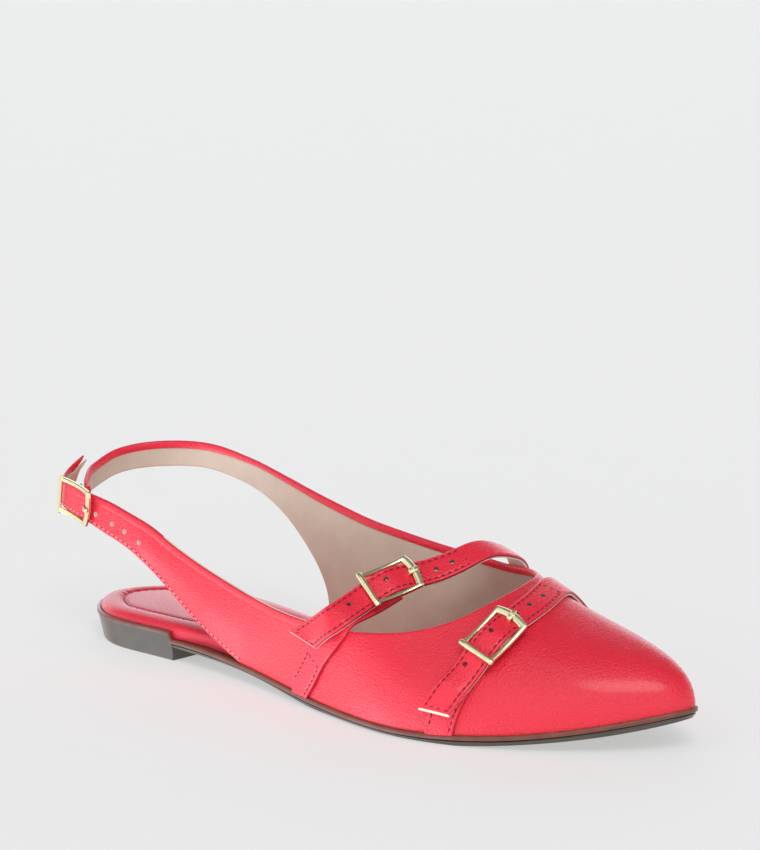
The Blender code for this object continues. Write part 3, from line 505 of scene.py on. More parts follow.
TAB_FRONT = (
    (188.4, -38.9, 4.2, 0.3, -1.0, 0.0, 1.0, 0.3),
    (190.8, -38.2, 12.8, 0.3, -1.0, 0.1, 1.0, 0.3),
    (193.0, -33.8, 20.4, 0.3, -0.8, 0.4, 1.0, 0.3),
    (195.8, -27.4, 27.4, 0.3, -0.65, 0.7, 1.0, 0.3),
    (197.7, -20.4, 33.4, 0.35, -0.55, 0.75, 1.0, 0.3),
)
print("strap rows:", len(STRAP_REAR), "and", len(STRAP_FRONT))

# %% [markdown]
# ## Curves of the pattern
# The outline is drawn against an angle instead of a length: the angle runs from 0 at the back of the heel
# to pi at the tip, which makes both ends round without extra points. Each row of the upper is one cubic
# Bezier curve from its foot on the sole to its top edge, so the rows together make the smooth swelling of
# a last.

# %% Splines and lengths


def spline(knots, values):
    """Natural cubic spline through the rows of values, as a function of the knots."""
    knots = np.asarray(knots, float)
    values = np.asarray(values, float)
    count = len(knots)
    step = np.diff(knots)
    wide = (-1,) + (1,) * (values.ndim - 1)
    slope = (values[1:] - values[:-1]) / step.reshape(wide)
    matrix = np.eye(count)
    right = np.zeros_like(values)
    for i in range(1, count - 1):
        matrix[i, i - 1 : i + 2] = step[i - 1], 2.0 * (step[i - 1] + step[i]), step[i]
        right[i] = 6.0 * (slope[i] - slope[i - 1])
    bend = np.linalg.solve(matrix, right)

    def value(where):
        where = np.atleast_1d(np.asarray(where, float))
        i = np.clip(np.searchsorted(knots, where) - 1, 0, count - 2)
        width = step[i].reshape(wide)
        left = (where - knots[i]).reshape(wide)
        rest = width - left
        curve = (bend[i] * rest**3 + bend[i + 1] * left**3) / (6.0 * width)
        start = (values[i] / width - bend[i] * width / 6.0) * rest
        end = (values[i + 1] / width - bend[i + 1] * width / 6.0) * left
        return curve + start + end

    return value


def fine_knots(knots, per_row):
    """The knots with evenly spaced places between them."""
    places = [knots[0]]
    for a, b in zip(knots[:-1], knots[1:]):
        places += list(np.linspace(a, b, per_row + 1)[1:])
    return np.array(places)


def arc_lengths(points):
    """Length along a line of points, from its start."""
    return np.concatenate([[0.0], np.cumsum(np.linalg.norm(np.diff(points, axis=0), axis=1))])


def along_line(places, lengths, columns):
    """The columns of a line's points at these lengths along it."""
    return np.column_stack([np.interp(places, lengths, column) for column in np.transpose(columns)])


def share_of(value, start, end):
    """0 before start, 1 after end, and an even rise between them."""
    return np.clip((value - start) / (end - start), 0.0, 1.0)


def fade(value, start, end):
    """0 before start, 1 after end, and a smooth rise between them."""
    share = share_of(value, start, end)
    return share * share * (3.0 - 2.0 * share)


# %% The sole's outline


def turn_of(along):
    """Angle from 0 at the back of the heel to pi at the tip."""
    return np.arccos(np.clip(1.0 - 2.0 * np.asarray(along, float) / LENGTH, -1.0, 1.0))


stations = [0.0] + [s.along for s in SOLE_SECTIONS] + [LENGTH]
station_turns = turn_of(stations)
lateral_line = spline(station_turns, [0.0] + [-s.lateral for s in SOLE_SECTIONS] + [TIP_ACROSS])
medial_line = spline(station_turns, [0.0] + [s.medial for s in SOLE_SECTIONS] + [TIP_ACROSS])
edge_top = spline(stations, [HEEL_BACK_TOP] + [s.edge_top for s in SOLE_SECTIONS] + [TIP_TOP])
arch_line = spline(stations, [HEEL_BACK_ARCH] + [s.arch for s in SOLE_SECTIONS] + [TIP_ARCH])


def outline_point(side, turn):
    """Plan position of the sole's edge; the side is -1 lateral or 1 medial."""
    turn = np.atleast_1d(turn)
    line = medial_line if side > 0 else lateral_line
    return np.stack([LENGTH * (1.0 - np.cos(turn)) / 2.0, line(turn)], axis=-1)


def outline_loop(turns):
    """The whole outline as one loop: lateral side to the tip, medial side back."""
    return np.concatenate([outline_point(-1, turns), outline_point(1, turns[::-1])[1:-1]])


ball_width = np.ptp(outline_loop(station_turns)[:, 1])
print("sole", LENGTH, "mm long and", round(ball_width, 1), "mm across its widest places")

# %% Rows of the upper
FEATHER_INSET = 0.8
SEAT_GAP = 0.05
TURN_STEP = 0.004
TINY = 1e-6
FIRST_SOLE_ROW = len(LATERAL_EDGES)
LAST_SOLE_ROW = FIRST_SOLE_ROW + len(SOLE_ROWS) - 1


def feather_point(side, along):
    """Foot of an upper row on the sole, a little inside the sole's edge."""
    turn = float(turn_of(along)[()])
    if side == 0:
        flat = np.array([LENGTH - FEATHER_INSET, TIP_ACROSS])
    else:
        line = outline_point(side, np.array([turn - TURN_STEP, turn, turn + TURN_STEP]))
        ahead = unit(line[2] - line[0])
        flat = line[1] + np.array([-ahead[1], ahead[0]]) * -side * FEATHER_INSET
    return np.array([flat[0], flat[1], float(edge_top(flat[0])[0]) + SEAT_GAP])


def upper_rows(per_row):
    """Lower edge, upper edge and bend of every row, also between those of the tables."""
    feet = [feather_point(row.side, row.foot) for row in SOLE_ROWS]
    low = np.array([e[0] for e in LATERAL_EDGES] + feet + [e[0] for e in MEDIAL_EDGES])
    tops = [(row.top_x, row.top_y, row.top_z) for row in SOLE_ROWS]
    top = np.array([e[1] for e in LATERAL_EDGES] + tops + [e[1] for e in MEDIAL_EDGES])
    bends = [LATERAL_BEND] * len(LATERAL_EDGES)
    bends += [(row.lean, row.slope, row.foot_pull, row.top_pull) for row in SOLE_ROWS]
    bends += [MEDIAL_BEND] * len(MEDIAL_EDGES)
    knots = arc_lengths((low + top) / 2.0)
    fine = fine_knots(knots, per_row)
    behind = fine <= knots[FIRST_SOLE_ROW]
    ahead = fine >= knots[LAST_SOLE_ROW]
    low_fine = np.empty((len(fine), 3))
    low_fine[behind] = spline(knots[: FIRST_SOLE_ROW + 1], low[: FIRST_SOLE_ROW + 1])(fine[behind])
    low_fine[ahead] = spline(knots[LAST_SOLE_ROW:], low[LAST_SOLE_ROW:])(fine[ahead])
    from_tip = [(math.pi - float(turn_of(row.foot)[()])) * (row.side or 1) for row in SOLE_ROWS]
    turns = spline(knots[FIRST_SOLE_ROW : LAST_SOLE_ROW + 1], from_tip)
    for i in np.flatnonzero(~behind & ~ahead):
        turn = float(turns(fine[i])[0])
        side = 0 if abs(turn) < TINY else int(math.copysign(1, turn))
        low_fine[i] = feather_point(side, LENGTH * (1.0 + math.cos(turn)) / 2.0)
    return low_fine, spline(knots, top)(fine), spline(knots, bends)(fine)


# %% Outer face of the upper
STEEP_FROM = 70.0
STEEP_TO = 84.0


def upper_surface(per_row, steps):
    """Outer face of the upper as a grid of points, with its outward normals."""
    low, top, bend = upper_rows(per_row)
    lean = np.radians(bend[:, :1])
    slope = np.radians(bend[:, 1:2])
    span = np.linalg.norm(top - low, axis=1)[:, None]
    out = low[:, :2] - top[:, :2]
    flat = np.linalg.norm(out, axis=1)[:, None]
    run = unit(np.gradient(low[:, :2] + top[:, :2], axis=0))
    across = np.stack([run[:, 1], -run[:, 0]], axis=1)
    amount = np.clip(flat / span * 2.0, 0.0, 1.0)
    out = unit(amount * out / np.maximum(flat, TINY) + (1.0 - amount) * across)
    rise = (top - low) / span
    steep = share_of(np.degrees(slope), STEEP_FROM, STEEP_TO)
    foot_way = (1.0 - steep) * np.hstack([out * np.sin(lean), np.cos(lean)]) + steep * rise
    top_way = (1.0 - steep) * np.hstack([out * np.cos(slope), -np.sin(slope)]) - steep * rise
    first = low + foot_way * bend[:, 2:3] * span
    second = top + top_way * bend[:, 3:4] * span
    t = np.linspace(0.0, 1.0, steps + 1)[None, :, None]
    s = 1.0 - t
    ends = s**3 * low[:, None] + t**3 * top[:, None]
    grid = ends + 3.0 * t * s**2 * first[:, None] + 3.0 * t**2 * s * second[:, None]
    return grid, unit(np.cross(np.gradient(grid, axis=0), np.gradient(grid, axis=1)))


PER_ROW = 8
UPPER_STEPS = 60
upper_grid, upper_normal = upper_surface(PER_ROW, UPPER_STEPS)
row_height = np.array([arc_lengths(row)[-1] for row in upper_grid])
print(len(upper_grid), "fine rows of the upper, the longest", round(row_height.max(), 1), "mm")

# %% [markdown]
# ## The sole unit
# The sole is one moulding: a lip runs round its top edge, the side below it is set back, the heel tapers
# down to the floor and the waist is hollow. It could be carved from a block, but a stack of loops is closer
# to the mould: each loop is the outline moved inwards by some distance at some height. The heel's rim
# stands up round the footbed and ends at the breast.

# %% Stations and faces of the sole
BREAST = 54.0
BREAST_DEPTH = 1.2
BREAST_STEPS = np.array([0.0, 0.25, 0.6, 1.0])
BREAST_CLEAR = 0.012
SOLE_STATIONS = 150


def inset(loop, distance):
    """The loop moved inwards by a distance, which may differ from point to point."""
    ahead = unit(np.roll(loop, -1, axis=0) - np.roll(loop, 1, axis=0))
    inwards = np.stack([-ahead[:, 1], ahead[:, 0]], axis=1)
    return loop + inwards * np.reshape(distance, (-1, 1))


def cross_faces(loops):
    """Faces across the first and the last loop, from each lateral point to the medial one beside it."""
    rows, count = loops.shape[:2]
    half = count // 2
    faces = []
    for start in (0, (rows - 1) * count):
        faces.append((start, start + 1, start + count - 1))
        for i in range(1, half - 1):
            faces.append((start + i, start + i + 1, start + count - i - 1, start + count - i))
        faces.append((start + half - 1, start + half, start + half + 1))
    return faces


def sole_turns():
    """Station angles, with close stations at the heel breast, whose corner is slightly rounded."""
    turns = np.linspace(0.0, math.pi, SOLE_STATIONS + 1)
    near = np.abs(turns - turn_of(BREAST + BREAST_DEPTH / 2.0)) < BREAST_CLEAR
    return np.sort(np.concatenate([turns[~near], turn_of(BREAST + BREAST_DEPTH * BREAST_STEPS)]))


# %% Sole, as loops from the top to the underside
# The lip is rounded: inset from the outline and depth below the rim. The side and the foot below it are
# set back further, differently at the heel.
HEEL_RIM = 2.6
RIM_WIDTH = 1.3
RIM_SLOPE = 0.2
RIM_SHOULDER = 0.9
LIP_HEIGHT = 1.45
LIP_PROFILE = ((1.05, 0.0), (0.45, 0.0), (0.12, 0.1), (0.0, 0.35), (0.0, 1.3), (0.1, LIP_HEIGHT))
LIP_UNDERSIDE = 0.1
LIP_UNDERSIDE_SHARE = 0.85
SIDE_BELOW_LIP = 0.35
SIDE_BACK = 0.95
HEEL_SIDE_OUT = 0.6
FOOT_TAPER = 0.2
HEEL_TAPER = 1.6
FOOT_BEVEL = 1.0
HEEL_BEVEL_LESS = 0.5
SIDE_SWELL = 0.45


def sole_loops():
    """The sole's loops, from the inner edge of the rim over the lip and down the side."""
    loop = outline_loop(sole_turns())
    x = loop[:, 0]
    heel = 1.0 - share_of(x, BREAST, BREAST + BREAST_DEPTH)
    top = edge_top(x)
    rim = top + HEEL_RIM * heel
    under = np.maximum(arch_line(x), 0.0) * (1.0 - heel)
    back = SIDE_BACK - HEEL_SIDE_OUT * heel
    foot = back + FOOT_TAPER + HEEL_TAPER * heel
    bevel = FOOT_BEVEL - HEEL_BEVEL_LESS * heel
    side_top = rim - LIP_HEIGHT - SIDE_BELOW_LIP
    side_low = under + bevel

    def ring(distance, level):
        return np.column_stack([inset(loop, np.broadcast_to(distance, len(loop))), level])

    rings = [ring(RIM_WIDTH + RIM_SLOPE, top), ring(RIM_WIDTH, top + HEEL_RIM * heel * RIM_SHOULDER)]
    rings += [ring(distance, rim - depth) for distance, depth in LIP_PROFILE]
    rings += [ring(back * LIP_UNDERSIDE_SHARE, rim - LIP_HEIGHT - LIP_UNDERSIDE), ring(back, side_top)]
    for share in (0.2, 0.4, 0.6, 0.8, 1.0):
        swell = SIDE_SWELL * math.sin(math.pi * share) * (1.0 - heel)
        rings.append(ring(back + (foot - back) * share - swell, side_top + (side_low - side_top) * share))
    for angle in np.radians((30.0, 60.0, 90.0)):
        rings.append(ring(foot + bevel * (1.0 - np.cos(angle)), under + bevel * (1.0 - np.sin(angle))))
    return np.array(rings)


# %% Finishes of the sole
LIP_ROWS = range(3, 8)
CEMENT_ROWS = range(2, 4)
SIDE_RUBBER, LIP_RUBBER, CEMENT = range(3)


def sole_kind(row, along):
    """The cement line lies on the top of the lip ahead of the heel, and the lip has its own brown."""
    if row in CEMENT_ROWS and along > BREAST:
        return CEMENT
    return LIP_RUBBER if row in LIP_ROWS else SIDE_RUBBER


rings = sole_loops()
count = rings.shape[1]
faces = loft(rings)
kinds = [sole_kind(face // count, rings[0, face % count, 0]) for face in range(len(faces))]
caps = cross_faces(rings)
make_piece(
    "sole_moulding",
    rings.reshape(-1, 3),
    faces + caps,
    [SOLE_RUBBER, SOLE_LIP, SOLE_SEAM],
    kinds + [SIDE_RUBBER] * len(caps),
    "sole_unit",
    50.0,
)

# %% [markdown]
# ## The padded footbed
# The footbed is a foam board wrapped in the same leather and sewn 8 mm in from its edge. The foam swells
# between the edge and the sewn line, and the thread pulls the leather down into a groove with small
# puckers. A cloth simulation would round a cushion, but this pad is only 5 mm thick and glued flat, so its
# swelling is drawn directly as a height over the distance from the edge.

# %% Edge and thickness of the pad
FOOTBED_STATIONS = 220
FOOTBED_HEEL_INSET = 1.4
FOOTBED_FRONT_INSET = 3.1
INTO_SHOE_FROM = 48.0
INTO_SHOE_TO = 74.0
FOOTBED_TOE_INSET = 5.0
TOE_PART = 26.0
HEEL_THICK = 5.2
FRONT_THICK = 3.7
THIN_FROM = 84.0
THIN_TO = 134.0
MIDDLE_START = 25.0
MIDDLE_END = 215.0
footbed_edge = outline_loop(np.linspace(0.0, math.pi, FOOTBED_STATIONS + 1))
edge_x = footbed_edge[:, 0]
into_shoe = fade(edge_x, INTO_SHOE_FROM, INTO_SHOE_TO)
first_inset = FOOTBED_HEEL_INSET + (FOOTBED_FRONT_INSET - FOOTBED_HEEL_INSET) * into_shoe
first_inset = first_inset + FOOTBED_TOE_INSET * share_of(edge_x, LENGTH - TOE_PART, LENGTH) ** 2
pad_thick = HEEL_THICK + (FRONT_THICK - HEEL_THICK) * share_of(edge_x, THIN_FROM, THIN_TO)


def towards_middle(loop, distance):
    """The loop moved to the shoe's middle line, which stops short of both ends, so that no loop folds."""
    along = np.clip(loop[:, 0], MIDDLE_START, MIDDLE_END)
    turns = turn_of(along)
    middle = np.column_stack([along, (lateral_line(turns) + medial_line(turns)) / 2.0])
    return loop + unit(middle - loop) * np.reshape(distance, (-1, 1))


print("pad", pad_thick.min(), "to", pad_thick.max(), "mm thick")

# %% Footbed with its sewn groove
# The pad's height as a share of its thickness, over the distance from its edge
PAD_SWELL = ((0.0, 0.5), (0.25, 0.66), (0.8, 0.79), (1.8, 0.9), (3.4, 0.97), (5.5, 0.99), (7.4, 0.93))
PAD_SWELL += ((9.5, 0.92), (14.0, 0.95))
PAD_RINGS = (0.0, 0.25, 0.8, 1.8, 3.4, 5.2, 6.4, 7.0, 7.4, 7.7, 8.0, 8.3, 8.6, 9.0, 9.6, 11.0, 13.5)
PAD_SIDE = (0.0, 0.3)
SEAM_INSET = 8.0
GROOVE_DEEP = 0.55
GROOVE_WIDE = 0.8
PUCKER_DEEP = 0.16
PUCKER_WIDE = 1.6
PUCKER_PITCH = 2.9
GLUE = 0.1
seam_run = arc_lengths(towards_middle(footbed_edge, first_inset + SEAM_INSET))


def footbed_ring(distance, share=None):
    """One loop of the pad; a share puts it on the pad's side instead of its swollen top."""
    flat = towards_middle(footbed_edge, first_inset + distance)
    level = edge_top(flat[:, 0]) + GLUE
    if share is not None:
        return np.column_stack([flat, level + share * pad_thick])
    from_seam = distance - SEAM_INSET
    groove = GROOVE_DEEP * math.exp(-((from_seam / GROOVE_WIDE) ** 2))
    pucker = PUCKER_DEEP * math.exp(-((from_seam / PUCKER_WIDE) ** 2))
    relief = pucker * np.cos(2.0 * math.pi * seam_run / PUCKER_PITCH) - groove
    swell = np.interp(distance, *np.transpose(PAD_SWELL))
    return np.column_stack([flat, level + swell * pad_thick + relief])


footbed_rings = [footbed_ring(0.0, share) for share in PAD_SIDE]
footbed_rings = np.array(footbed_rings + [footbed_ring(distance) for distance in PAD_RINGS])
footbed = make_piece(
    "padded_footbed",
    footbed_rings.reshape(-1, 3),
    loft(footbed_rings) + cross_faces(footbed_rings),
    [FOOTBED_LEATHER],
    None,
    "footbed",
    60.0,
)

# %% [markdown]
# ## Stitches
# A stitch is a short length of thread that rises out of one needle hole and dives into the next. Drawn as a
# curve with a bevel it would be heavy, so each one is a small six-sided capsule, and all the stitches of a
# seam are one mesh.

# %% A seam of stitches
STITCH_SIDES = 6
STITCH_RINGS = 6
LAST_STITCH = 0.6
STITCH_SUNK = 0.35
STITCH_END = 0.45
STITCH_FLAT = 0.85
Stitch = namedtuple("Stitch", "length pitch radius rise start")


def stitch_shape(spots, stitch):
    """One capsule along spots, which hold points and the ways out of the leather."""
    way = unit(spots[-1, :3] - spots[0, :3])
    angles = 2.0 * math.pi * np.arange(STITCH_SIDES) / STITCH_SIDES
    rings = []
    for spot, share in zip(spots, np.linspace(0.0, 1.0, STITCH_RINGS)):
        up = unit(spot[3:] - way * (spot[3:] @ way))
        side = np.cross(way, up)
        arch = math.sin(math.pi * share)
        middle = spot[:3] + up * (stitch.rise * (arch - STITCH_SUNK))
        thick = stitch.radius * (STITCH_END + (1.0 - STITCH_END) * math.sqrt(arch))
        spread = np.cos(angles)[:, None] * side + STITCH_FLAT * np.sin(angles)[:, None] * up
        rings.append(middle + thick * spread)
    rings = np.array(rings)
    return rings.reshape(-1, 3), loft(rings) + end_caps(rings)


def make_seam(name, runs, finish, stitch):
    """One piece with the stitches of several runs, each a path and its ways out of the leather."""
    shapes = []
    for path, out in runs:
        lengths = arc_lengths(path)
        total = lengths[-1]
        for first in np.arange(stitch.start, total - stitch.length * LAST_STITCH, stitch.pitch):
            places = np.linspace(first, min(first + stitch.length, total), STITCH_RINGS)
            shapes.append(stitch_shape(along_line(places, lengths, np.hstack([path, out])), stitch))
    points, faces = joined(shapes)
    return make_piece(name, points, faces, [finish], None, None)


FOOTBED_STITCH = Stitch(2.0, PUCKER_PITCH, 0.26, 0.22, 0.45)
seam_top = footbed_ring(SEAM_INSET)
upwards = np.tile([0.0, 0.0, 1.0], (len(seam_top), 1))
make_seam("footbed_seam", [(seam_top, upwards)], RED_THREAD, FOOTBED_STITCH)

# %% [markdown]
# ## The upper
# The upper is leather outside and textile inside, folded over at the top edge. From the inside the fold
# shows as a red band above the lining; from the outside it shows as a slightly fuller roll. Each row of the
# pattern becomes one closed section: up the outer face, over the rolled edge, down the fold and the lining,
# and round the lower edge, where a tan line below the lining is painted shade. Where the upper stands on the
# sole the lower edge is square, and along the open quarters and the sling it is turned and sewn. On the
# outer quarter a pale line shows on the top of the rolled edge: the cream backing, which also stands for a
# painted reflection where the roll glances. The sling's free end is trimmed to a narrow rounded tongue,
# where the leather is thinner.

# %% Places on the upper
TONGUE_ROWS = 1.9
TONGUE_FROM = 0.2
TONGUE_TIP = 0.14
TONGUE_ROUND = 0.14
TONGUE_ROUND_ROWS = 0.3


def on_row(i, distances, depths):
    """Points of a row at lengths from its lower edge and depths below its outer face; and the ways out."""
    both = np.hstack([upper_grid[i], upper_normal[i]])
    spots = along_line(distances, arc_lengths(upper_grid[i]), both)
    out = unit(spots[:, 3:])
    return spots[:, :3] - out * np.reshape(depths, (-1, 1)), out


def tongue_cut(i):
    """Length that is cut off the lower edge of a row to shape the sling's free end."""
    row = i / PER_ROW
    keep = TONGUE_TIP + TONGUE_ROUND * math.sqrt(min(row / TONGUE_ROUND_ROWS, 1.0))
    keep += (1.0 - TONGUE_TIP - TONGUE_ROUND) * fade(row, TONGUE_FROM, TONGUE_ROWS)
    return row_height[i] * (1.0 - keep)


# %% Profile of the upper's section
# Lengths from the lower edge (LOWER_EDGE) or down from the top edge (the others), each with a depth. The
# depths of LOWER_EDGE count where that edge is free and those of ROLLED_EDGE where the top is rolled, both
# below the outer face. FOLD_INSIDE and LINING_EDGE are sunk into the inner face.
WALL = 1.6
TAIL_WALL = 0.9
TAIL_WALL_FROM = 2.5
TAIL_WALL_TO = 4.5
ROLL = 0.75
FOLD = 2.6
SEAM_FROM_EDGE = 1.25
FACE_FROM = 1.9
FACE_TO = 2.8
FACE_MARGIN = 0.4
LOWER_EDGE = ((0.0, 0.35), (0.3, 0.08), (0.7, 0.0), (1.0, 0.02))
LOWER_EDGE += ((SEAM_FROM_EDGE, 0.13), (1.5, 0.02), (FACE_FROM, 0.0))
ROLLED_EDGE = ((FACE_TO, 0.04), (FOLD, 0.03), (2.1, -0.08), (1.4, -0.1))
FOLD_INSIDE = ((1.4, 0.0), (FOLD - 0.15, 0.0), (FOLD, 0.1))
LINING_EDGE = ((FOLD + 0.08, 0.36), (FOLD + 0.3, 0.3))
LINING_TOP = 3.3
LINING_LOW = 1.7
LINING_SUNK = 0.26
OUTER_POINTS = 26
ROLL_POINTS = 9
LINING_POINTS = 18
QUARTER_SWELL = 0.9
SWELL_ROWS = (6.5, 9.5)
SWELL_ENDS = 1.5
PALE_FROM_ROW = 8.5
PALE_TURNS = (65.0, 110.0)
LATERAL_ROWS = FIRST_SOLE_ROW + 4.0
TURNED_END_ROW = 1.5
LEATHER, TEXTILE, PALE, TAN_SHADE_KIND = range(4)


def upper_section(i):
    """Lengths, depths and finishes of one closed section."""
    row = i / PER_ROW
    height = row_height[i]
    free_behind = 1.0 - fade(row, FIRST_SOLE_ROW - 1.0, FIRST_SOLE_ROW)
    free = max(free_behind, fade(row, LAST_SOLE_ROW, LAST_SOLE_ROW + 1.0))
    roll_behind = 1.0 - fade(row, FIRST_SOLE_ROW + 1.0, LATERAL_ROWS)
    roll = max(roll_behind, fade(row, LAST_SOLE_ROW - 3.0, LAST_SOLE_ROW))
    wall = TAIL_WALL + (WALL - TAIL_WALL) * fade(row, TAIL_WALL_FROM, TAIL_WALL_TO)
    swell = QUARTER_SWELL * fade(row, *SWELL_ROWS)
    swell *= 1.0 - fade(row, FIRST_SOLE_ROW, FIRST_SOLE_ROW + SWELL_ENDS)
    inside = LEATHER if row < TURNED_END_ROW else TEXTILE
    pale_row = PALE_FROM_ROW < row < LATERAL_ROWS
    section = [(length, depth * free, LEATHER) for length, depth in LOWER_EDGE]
    for length in np.linspace(FACE_FROM + FACE_MARGIN, height - FACE_TO - FACE_MARGIN, OUTER_POINTS):
        share = (length - FACE_FROM) / (height - FACE_FROM - FACE_TO)
        section.append((length, -swell * math.sin(math.pi * share), LEATHER))
    section += [(height - length, depth * roll, LEATHER) for length, depth in ROLLED_EDGE]
    for turn in np.linspace(0.0, 180.0, ROLL_POINTS):
        angle = math.radians(turn)
        # Partly painted reflection: the pale backing finish on the top of the outer quarter's roll
        kind = PALE if pale_row and PALE_TURNS[0] < turn < PALE_TURNS[1] else LEATHER
        section.append((height - ROLL + ROLL * math.sin(angle), wall / 2.0 * (1.0 - math.cos(angle)), kind))
    section += [(height - length, wall - depth, LEATHER) for length, depth in FOLD_INSIDE]
    section += [(height - length, wall - depth, inside) for length, depth in LINING_EDGE]
    lining = np.linspace(height - LINING_TOP, LINING_LOW, LINING_POINTS)
    section += [(length, wall - LINING_SUNK, inside) for length in lining]
    section.append((0.8, wall - LINING_SUNK * free, inside))
    # Painted shade: a tan line along the inner lower edge
    section += [(length, wall - depth * free, TAN_SHADE_KIND) for length, depth in ((0.35, 0.3), (0.0, 0.6))]
    return section


# %% The lined upper
sections = []
kinds = []
for i, height in enumerate(row_height):
    section = np.array(upper_section(i))
    lengths = height - (height - section[:, 0]) * (1.0 - tongue_cut(i) / height)
    sections.append(on_row(i, lengths, section[:, 1])[0])
    kinds += section[:, 2].astype(int).tolist()
sections = np.array(sections)
faces = loft(sections)
caps = end_caps(sections)
upper = make_piece(
    "lined_upper",
    sections.reshape(-1, 3),
    faces + caps,
    [UPPER_LEATHER, LINING, BACKING, TAN_LINE_SHADE],
    kinds[: len(faces)] + [LEATHER] * len(caps),
    "upper",
    60.0,
)

# %% [markdown]
# ## The tail of the sling
# Behind the buckle the sling's leather and its lining are no longer glued: the leather is the narrow tongue,
# and the end of the lining stands a little apart beside it, as a thin beige strip. So the strip is a
# separate piece that leaves the leather at the buckle and drifts away from it towards the end.

# %% Loose lining of the tail
TAIL_ROWS = 3.6
TAIL_DRIFT = 1.3
TAIL_DRIFT_ROWS = (1.4, 3.2)
TAIL_GAP = 0.15
TAIL_THICK = 0.3
TAIL_LOW = 1.2
TAIL_TOP = 0.7
TAIL_TRIM = 0.85
TAIL_POINTS = 7
tail_loops = []
for i in range(int(TAIL_ROWS * PER_ROW)):
    drift = TAIL_WALL + TAIL_GAP + TAIL_DRIFT * (1.0 - fade(i / PER_ROW, *TAIL_DRIFT_ROWS))
    upwards = np.linspace(TAIL_LOW + TAIL_TRIM * tongue_cut(i), row_height[i] - TAIL_TOP, TAIL_POINTS)
    depths = np.repeat([drift, drift + TAIL_THICK], TAIL_POINTS)
    tail_loops.append(on_row(i, np.concatenate([upwards, upwards[::-1]]), depths)[0])
tail_loops = np.array(tail_loops)
faces = loft(tail_loops) + end_caps(tail_loops)
make_piece("sling_tail_lining", tail_loops.reshape(-1, 3), faces, [LINING], None, None)

# %% Seams along the open edges
# The needle holes' shade is painted as short dark stitches between the pale ones
QUARTER_STITCH = Stitch(1.55, 2.2, 0.2, 0.18, 0.2)
NEEDLE_SHADE_STITCH = Stitch(0.5, 2.2, 0.2, 0.08, 1.83)
SEAM_DEPTH = 0.04
LATERAL_SEAM = range(16, FIRST_SOLE_ROW * PER_ROW + 1)
MEDIAL_SEAM = range(LAST_SOLE_ROW * PER_ROW, len(upper_grid) - 4)
quarter_runs = []
for rows in (LATERAL_SEAM, MEDIAL_SEAM):
    run = [on_row(i, [SEAM_FROM_EDGE], [SEAM_DEPTH]) for i in rows]
    quarter_runs.append((np.vstack([spot for spot, _ in run]), np.vstack([out for _, out in run])))
make_seam("quarter_seams", quarter_runs, CORAL_THREAD, QUARTER_STITCH)
make_seam("quarter_needle_hole_shade", quarter_runs, NEEDLE_HOLE_SHADE, NEEDLE_SHADE_STITCH)

# %% [markdown]
# ## Straps and tabs
# A strap is a folded strip of leather on a microfibre backing. It lies on the upper where the foot carries
# it and spans the throat freely elsewhere. Each strip is lofted from one cross-section: a flat cream
# underside, darker red sides painted as shade, a rounded shoulder, two sewn grooves and a slight crown. The
# section's points are carried by grids that hug the upper's outer face. The free end of a strap is cut
# slantwise, also through its thickness, so that the cream backing shows at the end.

# %% Grids that follow a ribbon of the pattern
STRAP_WIDTH = 9.4
STRAP_THICK = 1.3
TAB_THICK = 0.9
CUT_FADE = 16.0
RIBBON_STEPS = 14
rest_grid, rest_normal = upper_surface(10, 40)
rest_points = rest_grid.reshape(-1, 3)
rest_out = rest_normal.reshape(-1, 3)
Strip = namedtuple("Strip", "under outer across along")


def ribbon_grids(table, thick, across, per_row, cut=0.0):
    """Under and outer face of a strip at places across it; lengths along it, its knots and its ways out."""
    rows = np.array(table, float)
    knots = arc_lengths(rows[:, :3])
    along = fine_knots(knots, per_row)
    line = spline(knots, rows[:, :3])(along)
    facing = spline(knots, rows[:, 3:6])(along)
    hug = np.clip(np.interp(along, knots, rows[:, 6]), 0.0, 1.0)
    lift = spline(knots, rows[:, 7])(along)
    ahead = unit(np.gradient(line, along, axis=0))
    facing = unit(facing - ahead * (facing * ahead).sum(axis=1)[:, None])
    beside = np.cross(ahead, facing)
    under = np.zeros((len(line), len(across), 3))
    outer = np.zeros_like(under)
    for i in range(len(line)):
        for j, place in enumerate(across):
            slant = place / STRAP_WIDTH * cut * max(0.0, 1.0 - along[i] / CUT_FADE)
            spot = line[i] + beside[i] * place + ahead[i] * slant
            out = facing[i]
            if hug[i] > 0.0:
                near = np.argmin(((rest_points - spot) ** 2).sum(axis=1))
                plane = rest_out[near]
                spot = spot - plane * ((spot - rest_points[near]) @ plane) * hug[i]
                out = unit(out * (1.0 - hug[i]) + plane * hug[i])
            under[i, j] = spot + out * lift[i]
            outer[i, j] = under[i, j] + out * thick
    return under, outer, along, knots, facing


def on_strip(strip, along, across, height):
    """Points of a strip at lengths, places across and shares of its thickness; and the ways out."""
    along = np.atleast_1d(np.asarray(along, float))
    across = np.broadcast_to(across, along.shape)
    i = np.clip(np.searchsorted(strip.along, along) - 1, 0, len(strip.along) - 2)
    j = np.clip(np.searchsorted(strip.across, across) - 1, 0, len(strip.across) - 2)
    a = ((along - strip.along[i]) / (strip.along[i + 1] - strip.along[i]))[:, None]
    b = ((across - strip.across[j]) / (strip.across[j + 1] - strip.across[j]))[:, None]

    def blend(grid):
        near = grid[i, j] * (1.0 - b) + grid[i, j + 1] * b
        far = grid[i + 1, j] * (1.0 - b) + grid[i + 1, j + 1] * b
        return near * (1.0 - a) + far * a

    low = blend(strip.under)
    out = blend(strip.outer) - low
    return low + out * height, unit(out)


